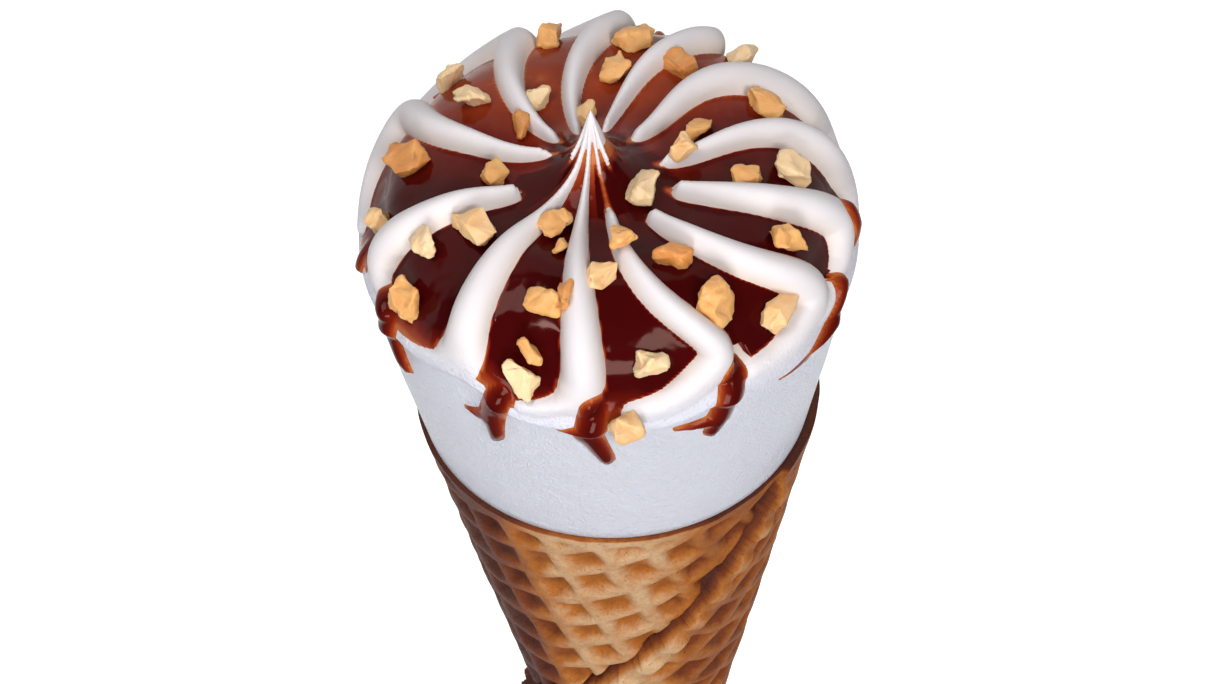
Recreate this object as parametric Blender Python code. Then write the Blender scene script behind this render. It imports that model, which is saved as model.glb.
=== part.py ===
"""Soft serve cone: a piped ice cream rosette with chocolate sauce and chopped nuts in a rolled wafer.

The cone is modelled about its own axis (z along the axis towards the peak, rim of the wafer at z = 0,
lengths in millimetres) and then laid on its back on a narrow flat along the wafer.
"""

import math
import random
from typing import NamedTuple

import bmesh
import bpy
import numpy as np
from mathutils import Matrix, Vector

MM = 0.001

# Wafer cone
RIM_RADIUS = 24.0
HALF_ANGLE = math.radians(11.0)
TIP_Z = -113.5
TIP_ROUNDING = 3.2
WALL = 2.3
RIM_WALL = 1.1
RIM_STRIP = 2.0
CAVITY_END_Z = -97.0
CAVITY_SIDES = 48

# Wafer relief, as a flat sheet pressed with diamonds before it is rolled
DIAMOND_WIDTH = 9.3
DIAMOND_HEIGHT = 7.6
DIAMOND_NODE = (2.79, 116.8)
PIT_DEPTH = 1.1
SEAM_NORMAL = math.radians(-55.5)
SEAM_DISTANCE = 51.5
SEAM_STEP = 0.85
GROOVE_WIDTH = 1.0
GROOVE_DEPTH = 1.6
KNOB_PITCH = 5.5
KNOB_REACH = 3.6
KNOB_HEIGHT = 0.9

# Ice cream head
FIT_GAP = 0.3
BAND_FOOT_RADIUS = 23.65
BAND_SLOPE = 0.197
BAND_TOP_RADIUS = 28.85
LOBE_RADIUS = 29.1
CREST_TOP_Z = 43.0
CREST_SQUARENESS = 3.1
LIP_HEIGHT = 0.9
PEAK_HEIGHT = 7.0
PEAK_WIDTH = 1.95
PEAK_SHARPNESS = 1.35
ROSETTE_CENTRE = (-1.4, -1.4)
CENTRE_FADE_RADIUS = 26.0
CREST_SAG = 1.7
CREST_SAG_RADIUS = 8.5
CREST_SAG_WIDTH = 6.0
RIDGE_HALF_WIDTH = 0.108
SAUCE_DEPTH = 2.6
SAUCE_DEPTH_RADIUS = 8.0
FLOOR_OVER_SAUCE = 1.65
SHOULDER_REACH = 8.0
SHOULDER_RADIUS = 28.6
FOOT_HALF_WIDTH = (2.4, 1.2)
FOOT_CURVE = 1.8
PATH_ROUNDING = 7
LEAST_WALL = 0.6
ROOT_FLARE = 1.6
CLEFT_AZIMUTH = 270.0
CLEFT_BREADTH = 9.0
FILLET = 0.7
DRIP_THICKNESS = 1.0

# Places on the cone: each azimuth is in degrees about the axis, counted from the photo's right
# and going round counter-clockwise as seen from the peak, so 270 faces the viewer.
BAND_EDGE = (
    (20, 28.0), (50, 28.8), (80, 28.6), (110, 28.0), (140, 28.4), (170, 28.6), (195, 28.2),
    (219, 28.6), (232, 30.4), (240, 29.4), (246, 26.8), (255, 26.6), (266, 26.8), (282, 26.4),
    (293, 28.0), (302, 27.6), (312, 26.4), (326, 27.0), (350, 27.6),
)


class Ridge(NamedTuple):
    """A piped ridge.

    It has an azimuth at three plan radii, the height over the band's edge at which it folds
    sideways, the azimuth and height of the tip of its folded foot, the plan radius at which it
    rises out of the sauce, or 0 where it runs bare up to the peak, its breadth and its foot's
    breadth over the usual ones, and how deep the drowned part to its root at the peak lies over
    the sauce's depth, or 0 where it has no root.
    """

    inner: float
    middle: float
    shoulder: float
    fold: float
    foot_tip: float
    rises: float
    tip_height: float = 2.4
    breadth: float = 1.0
    foot_breadth: float = 1.0
    root_depth: float = 0.0


RIDGE_RADII = (8.0, 17.0, 26.0)
RIDGES = (
    Ridge(256, 258.5, 261.3, 5.0, 247, rises=0.0, tip_height=1.8, foot_breadth=0.75),
    Ridge(228, 228.3, 230.7, 1.4, 214, rises=0.0, tip_height=0.6, breadth=1.1, foot_breadth=0.7),
    Ridge(200, 198, 196, 5.0, 208, rises=9.0, root_depth=2.4),
    Ridge(162, 163, 152, 8.0, 182, rises=5.5),
    Ridge(134, 127, 112, 9.0, 145, rises=6.0),
    Ridge(107, 97, 84, 9.0, 108, rises=5.5),
    Ridge(75, 68, 58, 9.0, 76, rises=5.5, breadth=0.85),
    Ridge(43, 44, 30, 7.0, 18, rises=6.0, breadth=1.25),
    Ridge(3, 11.5, 8, 5.5, -8, rises=7.5),
    Ridge(-24, -21.5, -14, 5.5, -36, rises=9.0, breadth=1.1),
    Ridge(-53, -50, -38, 4.5, -58, rises=9.0, foot_breadth=1.4, root_depth=2.4),
    Ridge(-80, -79.5, -68.5, 5.5, -88, rises=7.0, breadth=0.85, foot_breadth=1.1, root_depth=1.2),
)


class Drip(NamedTuple):
    """A run of sauce down the side: start and end (azimuth, height), and its half widths."""

    start: tuple
    end: tuple
    widths: tuple


DRIPS = (
    Drip((265, 30.0), (263, 25.0), (1.9, 1.9)),
    Drip((263, 25.5), (267, 20.0), (1.8, 1.1)),
    Drip((264, 26.6), (256, 25.9), (1.3, 0.4)),
    Drip((243, 30.0), (240, 25.5), (1.7, 1.8)),
    Drip((240, 25.5), (240, 21.0), (1.8, 1.1)),
    Drip((239, 24.6), (232, 24.1), (1.2, 0.4)),
    Drip((298, 31.0), (294, 24.6), (1.7, 1.9)),
    Drip((294, 24.6), (292, 22.2), (1.8, 1.1)),
    Drip((293, 24.4), (283, 24.7), (1.2, 0.4)),
    Drip((335, 31.0), (329, 27.4), (1.0, 1.2)),
    Drip((329, 27.4), (319, 25.6), (1.2, 0.9)),
    Drip((319, 25.6), (311, 25.2), (0.9, 0.35)),
    Drip((207, 32.0), (208, 27.0), (2.2, 1.9)),
    Drip((208, 27.0), (212, 22.5), (1.9, 0.9)),
    Drip((187, 35.0), (188, 28.0), (1.5, 0.9)),
    Drip((149, 33.0), (148, 27.5), (1.6, 0.9)),
    Drip((113, 33.0), (112, 29.0), (1.5, 0.9)),
    Drip((77, 33.0), (76, 28.0), (1.6, 0.9)),
    Drip((41, 34.0), (42, 29.5), (1.9, 1.0)),
    Drip((13, 35.0), (12, 31.0), (1.5, 0.9)),
    Drip((351, 35.0), (349, 30.0), (1.4, 0.9)),
)


class Nut(NamedTuple):
    """A chopped nut: plan radius, azimuth, length, width, thickness, and the turn about its seat."""

    radius: float
    azimuth: float
    length: float
    width: float
    thickness: float
    turn: float


NUTS = (
    Nut(24.2, 105, 4.8, 2.8, 2.8, 80), Nut(25.6, 136, 3.8, 3.0, 2.8, 20),
    Nut(19.0, 144, 4.0, 3.0, 2.6, 150), Nut(12.8, 122, 3.4, 2.6, 2.4, 10),
    Nut(11.0, 142, 3.6, 2.6, 2.6, 60), Nut(8.0, 100, 3.6, 2.6, 2.6, 70),
    Nut(23.8, 172, 5.6, 4.2, 3.2, 300), Nut(11.5, 182, 3.4, 2.8, 2.4, 60),
    Nut(27.6, 186, 4.4, 3.6, 2.8, 40), Nut(17.5, 212, 5.6, 3.8, 3.0, 290),
    Nut(23.6, 204, 4.6, 3.2, 2.8, 300), Nut(10.0, 240, 4.0, 3.2, 2.6, 20),
    Nut(17.0, 267, 4.2, 2.8, 2.6, 50), Nut(22.0, 249, 4.6, 3.4, 2.8, 340),
    Nut(21.0, 256, 3.2, 2.0, 2.2, 80), Nut(27.2, 249, 3.4, 2.4, 2.4, 300),
    Nut(28.7, 248, 5.4, 2.6, 2.6, 300), Nut(28.6, 212, 5.4, 3.8, 3.0, 70),
    Nut(13.6, 279, 3.2, 2.6, 2.4, 40), Nut(17.0, 297, 4.4, 2.8, 2.6, 330),
    Nut(24.4, 300, 5.6, 4.2, 3.2, 320), Nut(27.9, 315, 5.4, 3.2, 2.8, 50),
    Nut(28.0, 279, 3.8, 3.4, 2.8, 350), Nut(29.09, 272, 4.4, 3.8, 2.8, 70),
    Nut(24.2, 330, 4.6, 3.6, 3.0, 20), Nut(6.5, 322, 4.8, 3.4, 3.2, 80),
    Nut(14.6, 81, 4.4, 3.0, 2.6, 50), Nut(20.8, 78, 5.0, 3.4, 2.8, 10),
    Nut(18.0, 58, 5.0, 2.6, 2.6, 310), Nut(25.4, 48, 4.4, 3.2, 3.0, 70),
    Nut(21.2, 24, 5.0, 2.8, 2.6, 320), Nut(12.5, 22, 4.0, 2.4, 2.2, 20),
    Nut(9.8, 2, 5.0, 2.6, 2.6, 60), Nut(22.0, 355, 5.0, 3.4, 2.6, 335),
    Nut(16.8, 349, 3.4, 2.4, 2.2, 20), Nut(12.5, 249, 2.2, 1.8, 1.6, 10),
)
NUT_POINTS = 14
NUT_SEED = 7
NUT_SINK = 0.16

# Resolution of the built solids
HEAD_COLUMNS = 168
HEAD_RINGS = 76
BAND_RINGS = 16
BAND_CROWDING = 1.4
HEAD_TRIANGLES = 5400
WAFER_COLUMNS = 320
WAFER_RINGS = 250
WAFER_TRIANGLES = 5000

# The flat along the wafer that the cone lies on
REST_AZIMUTH = 90.0
REST_CUT = 0.35
REST_PLAIN_HALF_WIDTH = 2.6
REST_FADE_HALF_WIDTH = 5.5


def smoothstep(value, low, high):
    """Rise smoothly from 0 at low to 1 at high."""
    t = np.clip((value - low) / (high - low), 0.0, 1.0)
    return t * t * (3.0 - 2.0 * t)


def smooth_least(a, b, width):
    """The lesser of two depths, with a fillet of the given width where they meet."""
    mix = np.clip(0.5 + 0.5 * (b - a) / width, 0.0, 1.0)
    return b + (a - b) * mix - width * mix * (1.0 - mix)


def round_the_cone(places, azimuth):
    """Interpolate heights given at azimuths, smoothly and without a step at 360 degrees."""
    angles = np.array([place[0] for place in places], float)
    heights = np.array([place[1] for place in places], float)
    angles = np.concatenate([angles - 360.0, angles, angles + 360.0])
    heights = np.tile(heights, 3)
    turned = np.mod(azimuth, 360.0)
    spread = 3.0
    return (
        np.interp(turned - spread, angles, heights)
        + 2.0 * np.interp(turned, angles, heights)
        + np.interp(turned + spread, angles, heights)
    ) / 4.0


def band_radius(z):
    """Radius of the smooth band of ice cream above the wafer's rim."""
    return smooth_least(BAND_FOOT_RADIUS + BAND_SLOPE * z, BAND_TOP_RADIUS + 0.0 * z, 2.0)


def crest_point(turn, azimuth):
    """A point of the surface that touches all the crests, in three dimensions.

    turn runs from 0 at the middle of the rosette to pi/2 at the edge of the band.
    """
    edge = round_the_cone(BAND_EDGE, azimuth)
    radius = radius_at_turn(turn)
    z = edge + (CREST_TOP_Z - edge) * np.cos(turn) ** (2.0 / CREST_SQUARENESS)
    z = z - CREST_SAG * np.exp(-(((radius - CREST_SAG_RADIUS) / CREST_SAG_WIDTH) ** 2))
    z = z + PEAK_HEIGHT * np.exp(-((radius / PEAK_WIDTH) ** PEAK_SHARPNESS))
    return on_plan(radius, azimuth, z)


def on_plan(radius, azimuth, z):
    """Place a plan radius and azimuth about the rosette's centre, which fades to the cone's axis."""
    shift = 1.0 - smoothstep(radius, 0.0, CENTRE_FADE_RADIUS)
    angle = np.radians(azimuth)
    x = radius * np.cos(angle) + ROSETTE_CENTRE[0] * shift
    y = radius * np.sin(angle) + ROSETTE_CENTRE[1] * shift
    return np.stack(np.broadcast_arrays(x, y, z), axis=-1)


def radius_at_turn(turn):
    """Plan radius of the crest surface, a rounded square from the side."""
    return LOBE_RADIUS * np.sin(turn) ** (2.0 / CREST_SQUARENESS)


def turn_at_radius(radius):
    """The turn at which the crest surface has this plan radius."""
    return np.arcsin(np.clip((radius / LOBE_RADIUS) ** (CREST_SQUARENESS / 2.0), 0.0, 1.0))


def sauce_depth(radius):
    """How far the sauce stands below the crests in the valleys."""
    return SAUCE_DEPTH * (1.0 - np.exp(-((radius / SAUCE_DEPTH_RADIUS) ** 1.4)))


def turn_over_edge(height, azimuth):
    """The turn at which the crest surface stands this far over the band's edge."""
    rise = np.clip(height / (CREST_TOP_Z - round_the_cone(BAND_EDGE, azimuth)), 0.0, 1.0)
    return np.arccos(rise ** (CREST_SQUARENESS / 2.0))


def ridge_azimuth(ridge, radius):
    """Azimuth of a ridge's crest at a plan radius."""
    named = (ridge.inner, ridge.middle, ridge.shoulder)
    return np.polyval(np.polyfit(RIDGE_RADII, named, 2), np.maximum(radius, 4.0))


def rounded(values):
    """Round the corners of a path by a running mean."""
    window = 2 * PATH_ROUNDING + 1
    ends = np.full(PATH_ROUNDING, 1.0)
    padded = np.concatenate([values[0] * ends, values, values[-1] * ends])
    return np.convolve(padded, np.full(window, 1.0 / window), mode="valid")


def ridge_line(ridge):
    """The crest of one ridge, out over the shoulder and along its folded foot.

    Returns the points on the crest surface, the half width at each, and how far each is drowned.
    """
    turns = even_turns(110)[1:]
    azimuth = ridge_azimuth(ridge, radius_at_turn(turns))
    start = 0.0 if ridge.root_depth else ridge.rises - 1.4
    main = (turns < turn_over_edge(ridge.fold, azimuth)) & (radius_at_turn(turns) > start)
    turns, azimuth = turns[main], azimuth[main]
    radius = radius_at_turn(turns)
    flare = ROOT_FLARE * np.exp(-((radius / 3.0) ** 2))
    half_width = RIDGE_HALF_WIDTH * (radius + flare) * ridge.breadth
    drowned = max(ridge.root_depth, 1.2) * smoothstep(radius, 2.4, 3.6)
    drowned = drowned * (1.0 - smoothstep(radius, ridge.rises - 1.2, ridge.rises + 1.2))

    along = np.linspace(0.0, 1.0, 40)[1:]
    foot_azimuth = azimuth[-1] + (ridge.foot_tip - azimuth[-1]) * along
    height = ridge.tip_height + (ridge.fold - ridge.tip_height) * (1.0 - along) ** FOOT_CURVE
    foot_turns = turn_over_edge(height, foot_azimuth)
    bend = np.minimum(1.0, along * 3.0)
    foot_width = FOOT_HALF_WIDTH[0] + (FOOT_HALF_WIDTH[1] - FOOT_HALF_WIDTH[0]) * along
    foot_width = half_width[-1] * (1.0 - bend) + foot_width * bend * ridge.foot_breadth
    line = crest_point(
        rounded(np.concatenate([turns, foot_turns])),
        rounded(np.concatenate([azimuth, foot_azimuth])),
    )
    return (
        line,
        np.concatenate([half_width, foot_width]),
        np.concatenate([drowned, np.zeros(len(foot_turns))]),
    )


def nearest_ridge(points):
    """For points on the crest surface, the distance to a ridge over its half width, and its drowning."""
    lines = [ridge_line(ridge) for ridge in RIDGES]
    crest = np.concatenate([line[0] for line in lines])
    width = np.concatenate([line[1] for line in lines])
    drowned = np.concatenate([line[2] for line in lines])
    share = np.empty(len(points))
    sunk = np.empty(len(points))
    for start in range(0, len(points), 4000):
        block = points[start : start + 4000]
        distance = np.linalg.norm(block[:, None, :] - crest[None], axis=-1) / width
        nearest = distance.argmin(axis=1)
        share[start : start + 4000] = distance[np.arange(len(block)), nearest]
        sunk[start : start + 4000] = drowned[nearest]
    return share, sunk


def rim_wall(azimuth):
    """Height over the band's edge of the wall that the folded feet make round the rosette."""
    height = np.full(np.shape(azimuth), LEAST_WALL)
    for ridge in RIDGES:
        start = ridge_azimuth(ridge, np.array(SHOULDER_RADIUS))
        along = (np.mod(azimuth - start + 180.0, 360.0) - 180.0) / (ridge.foot_tip - start)
        rise = (ridge.fold - ridge.tip_height) * (1.0 - np.clip(along, 0.0, 1.0)) ** FOOT_CURVE
        wall = ridge.tip_height + rise
        height = np.where((along > -0.25) & (along < 1.0), np.maximum(height, wall), height)
    return height


def drip_cover(azimuth, z):
    """Thickness of the runs of sauce on the side of the head, and below 0 away from them."""
    cover = np.full(np.shape(azimuth), -2.0)
    for drip in DRIPS:
        across = np.mod(azimuth - drip.start[0] + 180.0, 360.0) - 180.0
        x = np.radians(across) * LOBE_RADIUS
        y = z - drip.start[1]
        run_x = math.radians(drip.end[0] - drip.start[0]) * LOBE_RADIUS
        run_y = drip.end[1] - drip.start[1]
        along = np.clip((x * run_x + y * run_y) / (run_x**2 + run_y**2), 0.0, 1.0)
        width = drip.widths[0] + (drip.widths[1] - drip.widths[0]) * along
        share = np.hypot(x - run_x * along, y - run_y * along) / width
        thickness = DRIP_THICKNESS * np.minimum(1.0, width / 1.2)
        cover = np.maximum(cover, thickness * (1.0 - share**2))
    return cover


def head_depths(turn, azimuth):
    """How far the bare ice cream and the sauce lie below the crest surface."""
    points = crest_point(turn, azimuth)
    radius = radius_at_turn(turn)
    share, sunk = nearest_ridge(points)
    above_edge = points[:, 2] - round_the_cone(BAND_EDGE, azimuth)
    reach = smoothstep(above_edge, -0.4, SHOULDER_REACH)
    level = sauce_depth(radius)
    floor = level * FLOOR_OVER_SAUCE
    section = 1.0 - np.sqrt(np.clip(1.0 - share**2, 0.0, 1.0))
    peak = 1.0 - smoothstep(radius, 0.7, 2.4)
    from_cleft = (np.mod(azimuth - CLEFT_AZIMUTH + 180.0, 360.0) - 180.0) / CLEFT_BREADTH
    cleft = 0.8 * np.exp(-(from_cleft**2)) * smoothstep(radius, 0.8, 1.6)
    peak = peak * (1.0 - cleft)
    bare = floor * reach * section * (1.0 - 0.5 * peak) + sunk * level
    inside = smoothstep(above_edge - rim_wall(azimuth), -0.8, 0.8)
    spill = drip_cover(azimuth, points[:, 2])
    sauce = np.minimum(level * reach + 2.0 * (1.0 - inside) + peak, bare - spill)
    return points, bare, sauce


def crest_normals(turn, azimuth):
    """Outward normals of the crest surface by small differences."""
    step = 1e-3
    along = crest_point(np.minimum(turn + step, math.pi / 2), azimuth)
    along = along - crest_point(np.maximum(turn - step, 1e-6), azimuth)
    round_it = crest_point(turn, azimuth + 0.1) - crest_point(turn, azimuth - 0.1)
    normal = np.cross(along, round_it)
    length = np.linalg.norm(normal, axis=-1, keepdims=True)
    return normal / np.maximum(length, 1e-12)


def even_turns(count):
    """Turns from the peak to the band's edge, evenly spaced along the surface."""
    fine = (np.linspace(0.0, 1.0, 4000) ** 1.5) * math.pi / 2
    profile = crest_point(fine, np.full(fine.shape, 270.0))
    length = np.concatenate([[0.0], np.cumsum(np.linalg.norm(np.diff(profile, axis=0), axis=1))])
    return np.interp(np.linspace(0.0, length[-1], count), length, fine)


def head_point(ring, azimuth):
    """Points of the head for whole ring numbers, from the peak down to the wafer's rim."""
    turn = even_turns(HEAD_RINGS)[np.minimum(ring, HEAD_RINGS - 1).astype(int)]
    points, bare, sauce = head_depths(turn, azimuth)
    depth = smooth_least(bare, sauce, FILLET)
    depth = np.where(ring == 0, 0.0, depth)
    head = points - crest_normals(turn, azimuth) * depth[:, None]

    edge = round_the_cone(BAND_EDGE, azimuth)
    down = np.clip((ring - (HEAD_RINGS - 1)) / BAND_RINGS, 0.0, 1.0) ** BAND_CROWDING
    z = edge + (FIT_GAP - edge) * down
    lip = LOBE_RADIUS - band_radius(edge)
    radius = band_radius(z) + lip * (1.0 - smoothstep(edge - z, 0.0, LIP_HEIGHT))
    band = on_plan(radius + np.maximum(drip_cover(azimuth, z), 0.0), azimuth, z)
    return np.where((ring >= HEAD_RINGS)[:, None], band, head)


def seam_roll(slant):
    """Angle on the flat sheet at which the straight edge of the overlap crosses this slant."""
    return SEAM_NORMAL + np.arccos(np.clip(SEAM_DISTANCE / slant, 0.0, 1.0))


def wafer_relief(slant, azimuth):
    """Height of the pressed pattern, the overlap and its edge over the plain cone."""
    sheet_turn = 2.0 * math.pi * math.sin(HALF_ANGLE)
    seam = seam_roll(slant)
    past = np.mod(np.radians(azimuth - 270.0) * math.sin(HALF_ANGLE) - seam, sheet_turn)
    roll = seam + past
    x = slant * np.sin(roll) - DIAMOND_NODE[0]
    y = slant * np.cos(roll) - DIAMOND_NODE[1]
    first = np.mod(x / DIAMOND_WIDTH + y / DIAMOND_HEIGHT, 1.0)
    second = np.mod(x / DIAMOND_WIDTH - y / DIAMOND_HEIGHT, 1.0)
    pit = 1.0 - np.maximum(np.abs(2.0 * first - 1.0), np.abs(2.0 * second - 1.0))
    pit = smoothstep(pit, 0.12, 0.8)
    below_rim = RIM_RADIUS / math.sin(HALF_ANGLE) - slant
    pressed = smoothstep(below_rim, RIM_STRIP - 0.6, RIM_STRIP + 1.0) * smoothstep(slant, 14.0, 30.0)

    seam_shown = smoothstep(slant, SEAM_DISTANCE, SEAM_DISTANCE + 14.0)
    outside = SEAM_DISTANCE - slant * np.cos(roll - SEAM_NORMAL)
    inside = slant * np.cos(roll - sheet_turn - SEAM_NORMAL) - SEAM_DISTANCE
    outside = np.where(past < sheet_turn / 2, outside, 99.0)
    inside = np.where(past > sheet_turn / 2, inside, 99.0)
    layer = SEAM_STEP * (1.0 - past / sheet_turn) * seam_shown
    beads = np.cos(2.0 * math.pi * slant * np.sin(roll - SEAM_NORMAL) / KNOB_PITCH)
    gap = GROOVE_WIDTH * (1.0 - 0.3 * beads)
    groove = GROOVE_DEPTH * (1.0 - smoothstep(inside, 0.5 * gap, gap))
    near = 1.0 - smoothstep(outside, KNOB_REACH * 0.55, KNOB_REACH)
    knob = near * (0.3 + 0.7 * smoothstep(beads, -0.7, 0.7)) * KNOB_HEIGHT
    pits = PIT_DEPTH * pit * (1.0 - near * seam_shown)
    return layer + pressed * (knob * seam_shown - groove * seam_shown - pits)


def wafer_point(slant, azimuth):
    """Points of the wafer's outer face; slant runs along the face from the apex of the cone."""
    relief = wafer_relief(slant, azimuth)
    radius = slant * math.sin(HALF_ANGLE)
    across = np.abs(np.mod(azimuth - REST_AZIMUTH + 180.0, 360.0) - 180.0)
    offset = np.radians(across) * radius
    rest = 1.0 - smoothstep(offset, REST_PLAIN_HALF_WIDTH, REST_FADE_HALF_WIDTH)
    relief = relief * (1.0 - rest)
    z = slant * math.cos(HALF_ANGLE) - RIM_RADIUS / math.tan(HALF_ANGLE)
    wide = np.maximum(radius + relief / math.cos(HALF_ANGLE), 0.05)
    angle = np.radians(azimuth)
    return np.stack([wide * np.cos(angle), wide * np.sin(angle), z], axis=-1)


def material(name, colour, roughness, metallic=0.0):
    """A Principled material with one colour."""
    made = bpy.data.materials.new(name)
    made.use_nodes = True
    shader = made.node_tree.nodes["Principled BSDF"]
    shader.inputs["Base Color"].default_value = (*colour, 1.0)
    shader.inputs["Roughness"].default_value = roughness
    shader.inputs["Metallic"].default_value = metallic
    return made


def new_object(name, mesh, collection, frame):
    """Link a mesh, given in the cone's own frame, and hang it on the frame empty."""
    made = bpy.data.objects.new(name, mesh)
    collection.objects.link(made)
    made.parent = frame
    return made


def mesh_from(name, work):
    """Turn a bmesh in millimetres into a mesh in metres."""
    bmesh.ops.scale(work, vec=Vector((MM, MM, MM)), verts=work.verts)
    mesh = bpy.data.meshes.new(name)
    work.to_mesh(mesh)
    work.free()
    return mesh


def spun_disc(rings, columns):
    """A flat disc of concentric rings at radii 1 to rings, spun from a straight line of vertices."""
    work = bmesh.new()
    line = [work.verts.new((float(ring), 0.0, 0.0)) for ring in range(rings + 1)]
    edges = [work.edges.new(pair) for pair in zip(line, line[1:])]
    bmesh.ops.spin(
        work,
        geom=line + edges,
        cent=(0.0, 0.0, 0.0),
        axis=(0.0, 0.0, 1.0),
        angle=2.0 * math.pi,
        steps=columns,
        use_merge=True,
    )
    bmesh.ops.remove_doubles(work, verts=work.verts, dist=0.01)
    return work


def wrap(work, place):
    """Move each vertex of a spun disc to the place of its ring number and azimuth."""
    work.verts.ensure_lookup_table()
    flat = np.array([vertex.co for vertex in work.verts])
    ring = np.rint(np.hypot(flat[:, 0], flat[:, 1]))
    azimuth = np.degrees(np.arctan2(flat[:, 1], flat[:, 0])) % 360.0
    for vertex, point in zip(work.verts, place(ring, azimuth)):
        vertex.co = point


def close_end(work):
    """Close the open last ring with one face."""
    open_edges = [edge for edge in work.edges if edge.is_boundary]
    bmesh.ops.contextual_create(work, geom=open_edges)
    bmesh.ops.recalc_face_normals(work, faces=work.faces)
    bmesh.ops.triangulate(work, faces=[face for face in work.faces if len(face.verts) > 4])


def thin_out(target, triangles):
    """Thin a dense mesh to about this many triangles, keeping its form."""
    target.data.calc_loop_triangles()
    modifier = target.modifiers.new("thin out", "DECIMATE")
    modifier.ratio = triangles / len(target.data.loop_triangles)
    return modifier


def boolean(target, operation, cutter=None, collection=None):
    """Add a Boolean with one object or a whole collection."""
    modifier = target.modifiers.new(operation.lower(), "BOOLEAN")
    modifier.operation = operation
    modifier.solver = "EXACT"
    if collection:
        modifier.operand_type = "COLLECTION"
        modifier.collection = collection
    else:
        modifier.object = cutter
    return modifier


def apply_modifiers(target):
    """Bake the modifiers into the mesh."""
    graph = bpy.context.evaluated_depsgraph_get()
    baked = bpy.data.meshes.new_from_object(target.evaluated_get(graph))
    target.modifiers.clear()
    target.data = baked


def cone_between(points, sides, collection, frame, name):
    """A solid of revolution with flat sides through (radius, z) points, wide end first."""
    work = bmesh.new()
    line = [work.verts.new((radius, 0.0, z)) for radius, z in points]
    edges = [work.edges.new(pair) for pair in zip(line, line[1:])]
    bmesh.ops.spin(
        work,
        geom=line + edges,
        cent=(0.0, 0.0, 0.0),
        axis=(0.0, 0.0, 1.0),
        angle=2.0 * math.pi,
        steps=sides,
        use_merge=True,
    )
    bmesh.ops.remove_doubles(work, verts=work.verts, dist=0.001)
    bmesh.ops.holes_fill(work, edges=work.edges)
    bmesh.ops.recalc_face_normals(work, faces=work.faces)
    return new_object(name, mesh_from(name, work), collection, frame)


def cavity_profile(gap):
    """The inside of the wafer, or the plug that fills it with a gap all round."""
    slope = math.tan(HALF_ANGLE)
    strip = RIM_STRIP + 2.5
    end_radius = max(RIM_RADIUS - WALL / math.cos(HALF_ANGLE) + CAVITY_END_Z * slope, 1.0)
    return (
        (RIM_RADIUS - RIM_WALL - gap, 0.0),
        (RIM_RADIUS - WALL - strip * slope - gap, -strip),
        (end_radius - gap, CAVITY_END_Z + gap),
    )


def cavity_points(gap, top):
    """Cavity or plug profile from its top rim on the axis side to its closed end."""
    profile = cavity_profile(gap)
    head = (profile[0][0], top)
    return ((0.0, top), head, *profile, (0.0, profile[-1][1]))


def nut_chunk(nut, draw):
    """One chopped nut: the hull of seeded points in a rounded block, lying about the origin."""
    work = bmesh.new()
    for _ in range(NUT_POINTS):
        direction = Vector((draw.uniform(-1, 1), draw.uniform(-1, 1), draw.uniform(-1, 1)))
        block = direction / max(abs(value) for value in direction)
        point = block.lerp(direction.normalized() * 1.15, 0.35)
        size = (nut.length / 2, nut.width / 2, nut.thickness / 2)
        work.verts.new([value * half for value, half in zip(point, size)])
    hull = bmesh.ops.convex_hull(work, input=work.verts)
    unused = [item for item in hull["geom_interior"] if isinstance(item, bmesh.types.BMVert)]
    bmesh.ops.delete(work, geom=unused, context="VERTS")
    return work


def nut_seat(nut):
    """Where a nut sits on the head, as a matrix with its z axis out of the surface."""
    turn = turn_at_radius(np.array([nut.radius]))
    azimuth = np.array([float(nut.azimuth)])
    points, bare, sauce = head_depths(turn, azimuth)
    normal = crest_normals(turn, azimuth)[0]
    depth = smooth_least(bare, sauce, FILLET)[0]
    seat = points[0] + normal * (nut.thickness * (0.5 - NUT_SINK) - depth)
    up = Vector(normal)
    side = Vector((1.0, 0.0, 0.0)).cross(up).normalized().cross(up) * -1.0
    turned = Matrix.Rotation(math.radians(nut.turn), 4, up) @ side.to_4d()
    side = Vector(turned[:3]).normalized()
    forward = up.cross(side)
    basis = Matrix((side, forward, up)).transposed().to_4x4()
    return Matrix.Translation(Vector(seat)) @ basis


def build_nuts(collection, frame):
    """All the chopped nuts, each a small hull of its own."""
    draw = random.Random(NUT_SEED)
    for number, nut in enumerate(NUTS):
        work = nut_chunk(nut, draw)
        bmesh.ops.transform(work, matrix=nut_seat(nut), verts=work.verts)
        name = f"nut_{number:02d}"
        new_object(name, mesh_from(name, work), collection, frame)


def build_ice_cream(collection, frame):
    """The head with its sauce, the plug inside the wafer and the nuts, all one frozen piece."""
    work = spun_disc(HEAD_RINGS + BAND_RINGS - 1, HEAD_COLUMNS)
    wrap(work, head_point)
    close_end(work)
    head = new_object("ice_cream", mesh_from("ice_cream", work), collection, frame)
    thin_out(head, HEAD_TRIANGLES)
    toppings = bpy.data.collections.new("toppings")
    bpy.context.scene.collection.children.link(toppings)
    build_nuts(toppings, frame)
    cone_between(cavity_points(FIT_GAP, 8.0), CAVITY_SIDES, toppings, frame, "plug")
    boolean(head, "UNION", collection=toppings)
    apply_modifiers(head)
    for joined in list(toppings.objects):
        bpy.data.objects.remove(joined)
    bpy.data.collections.remove(toppings)
    head.data.materials.append(material("frozen ice cream", (0.86, 0.87, 0.89), 0.45))
    return head


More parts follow.
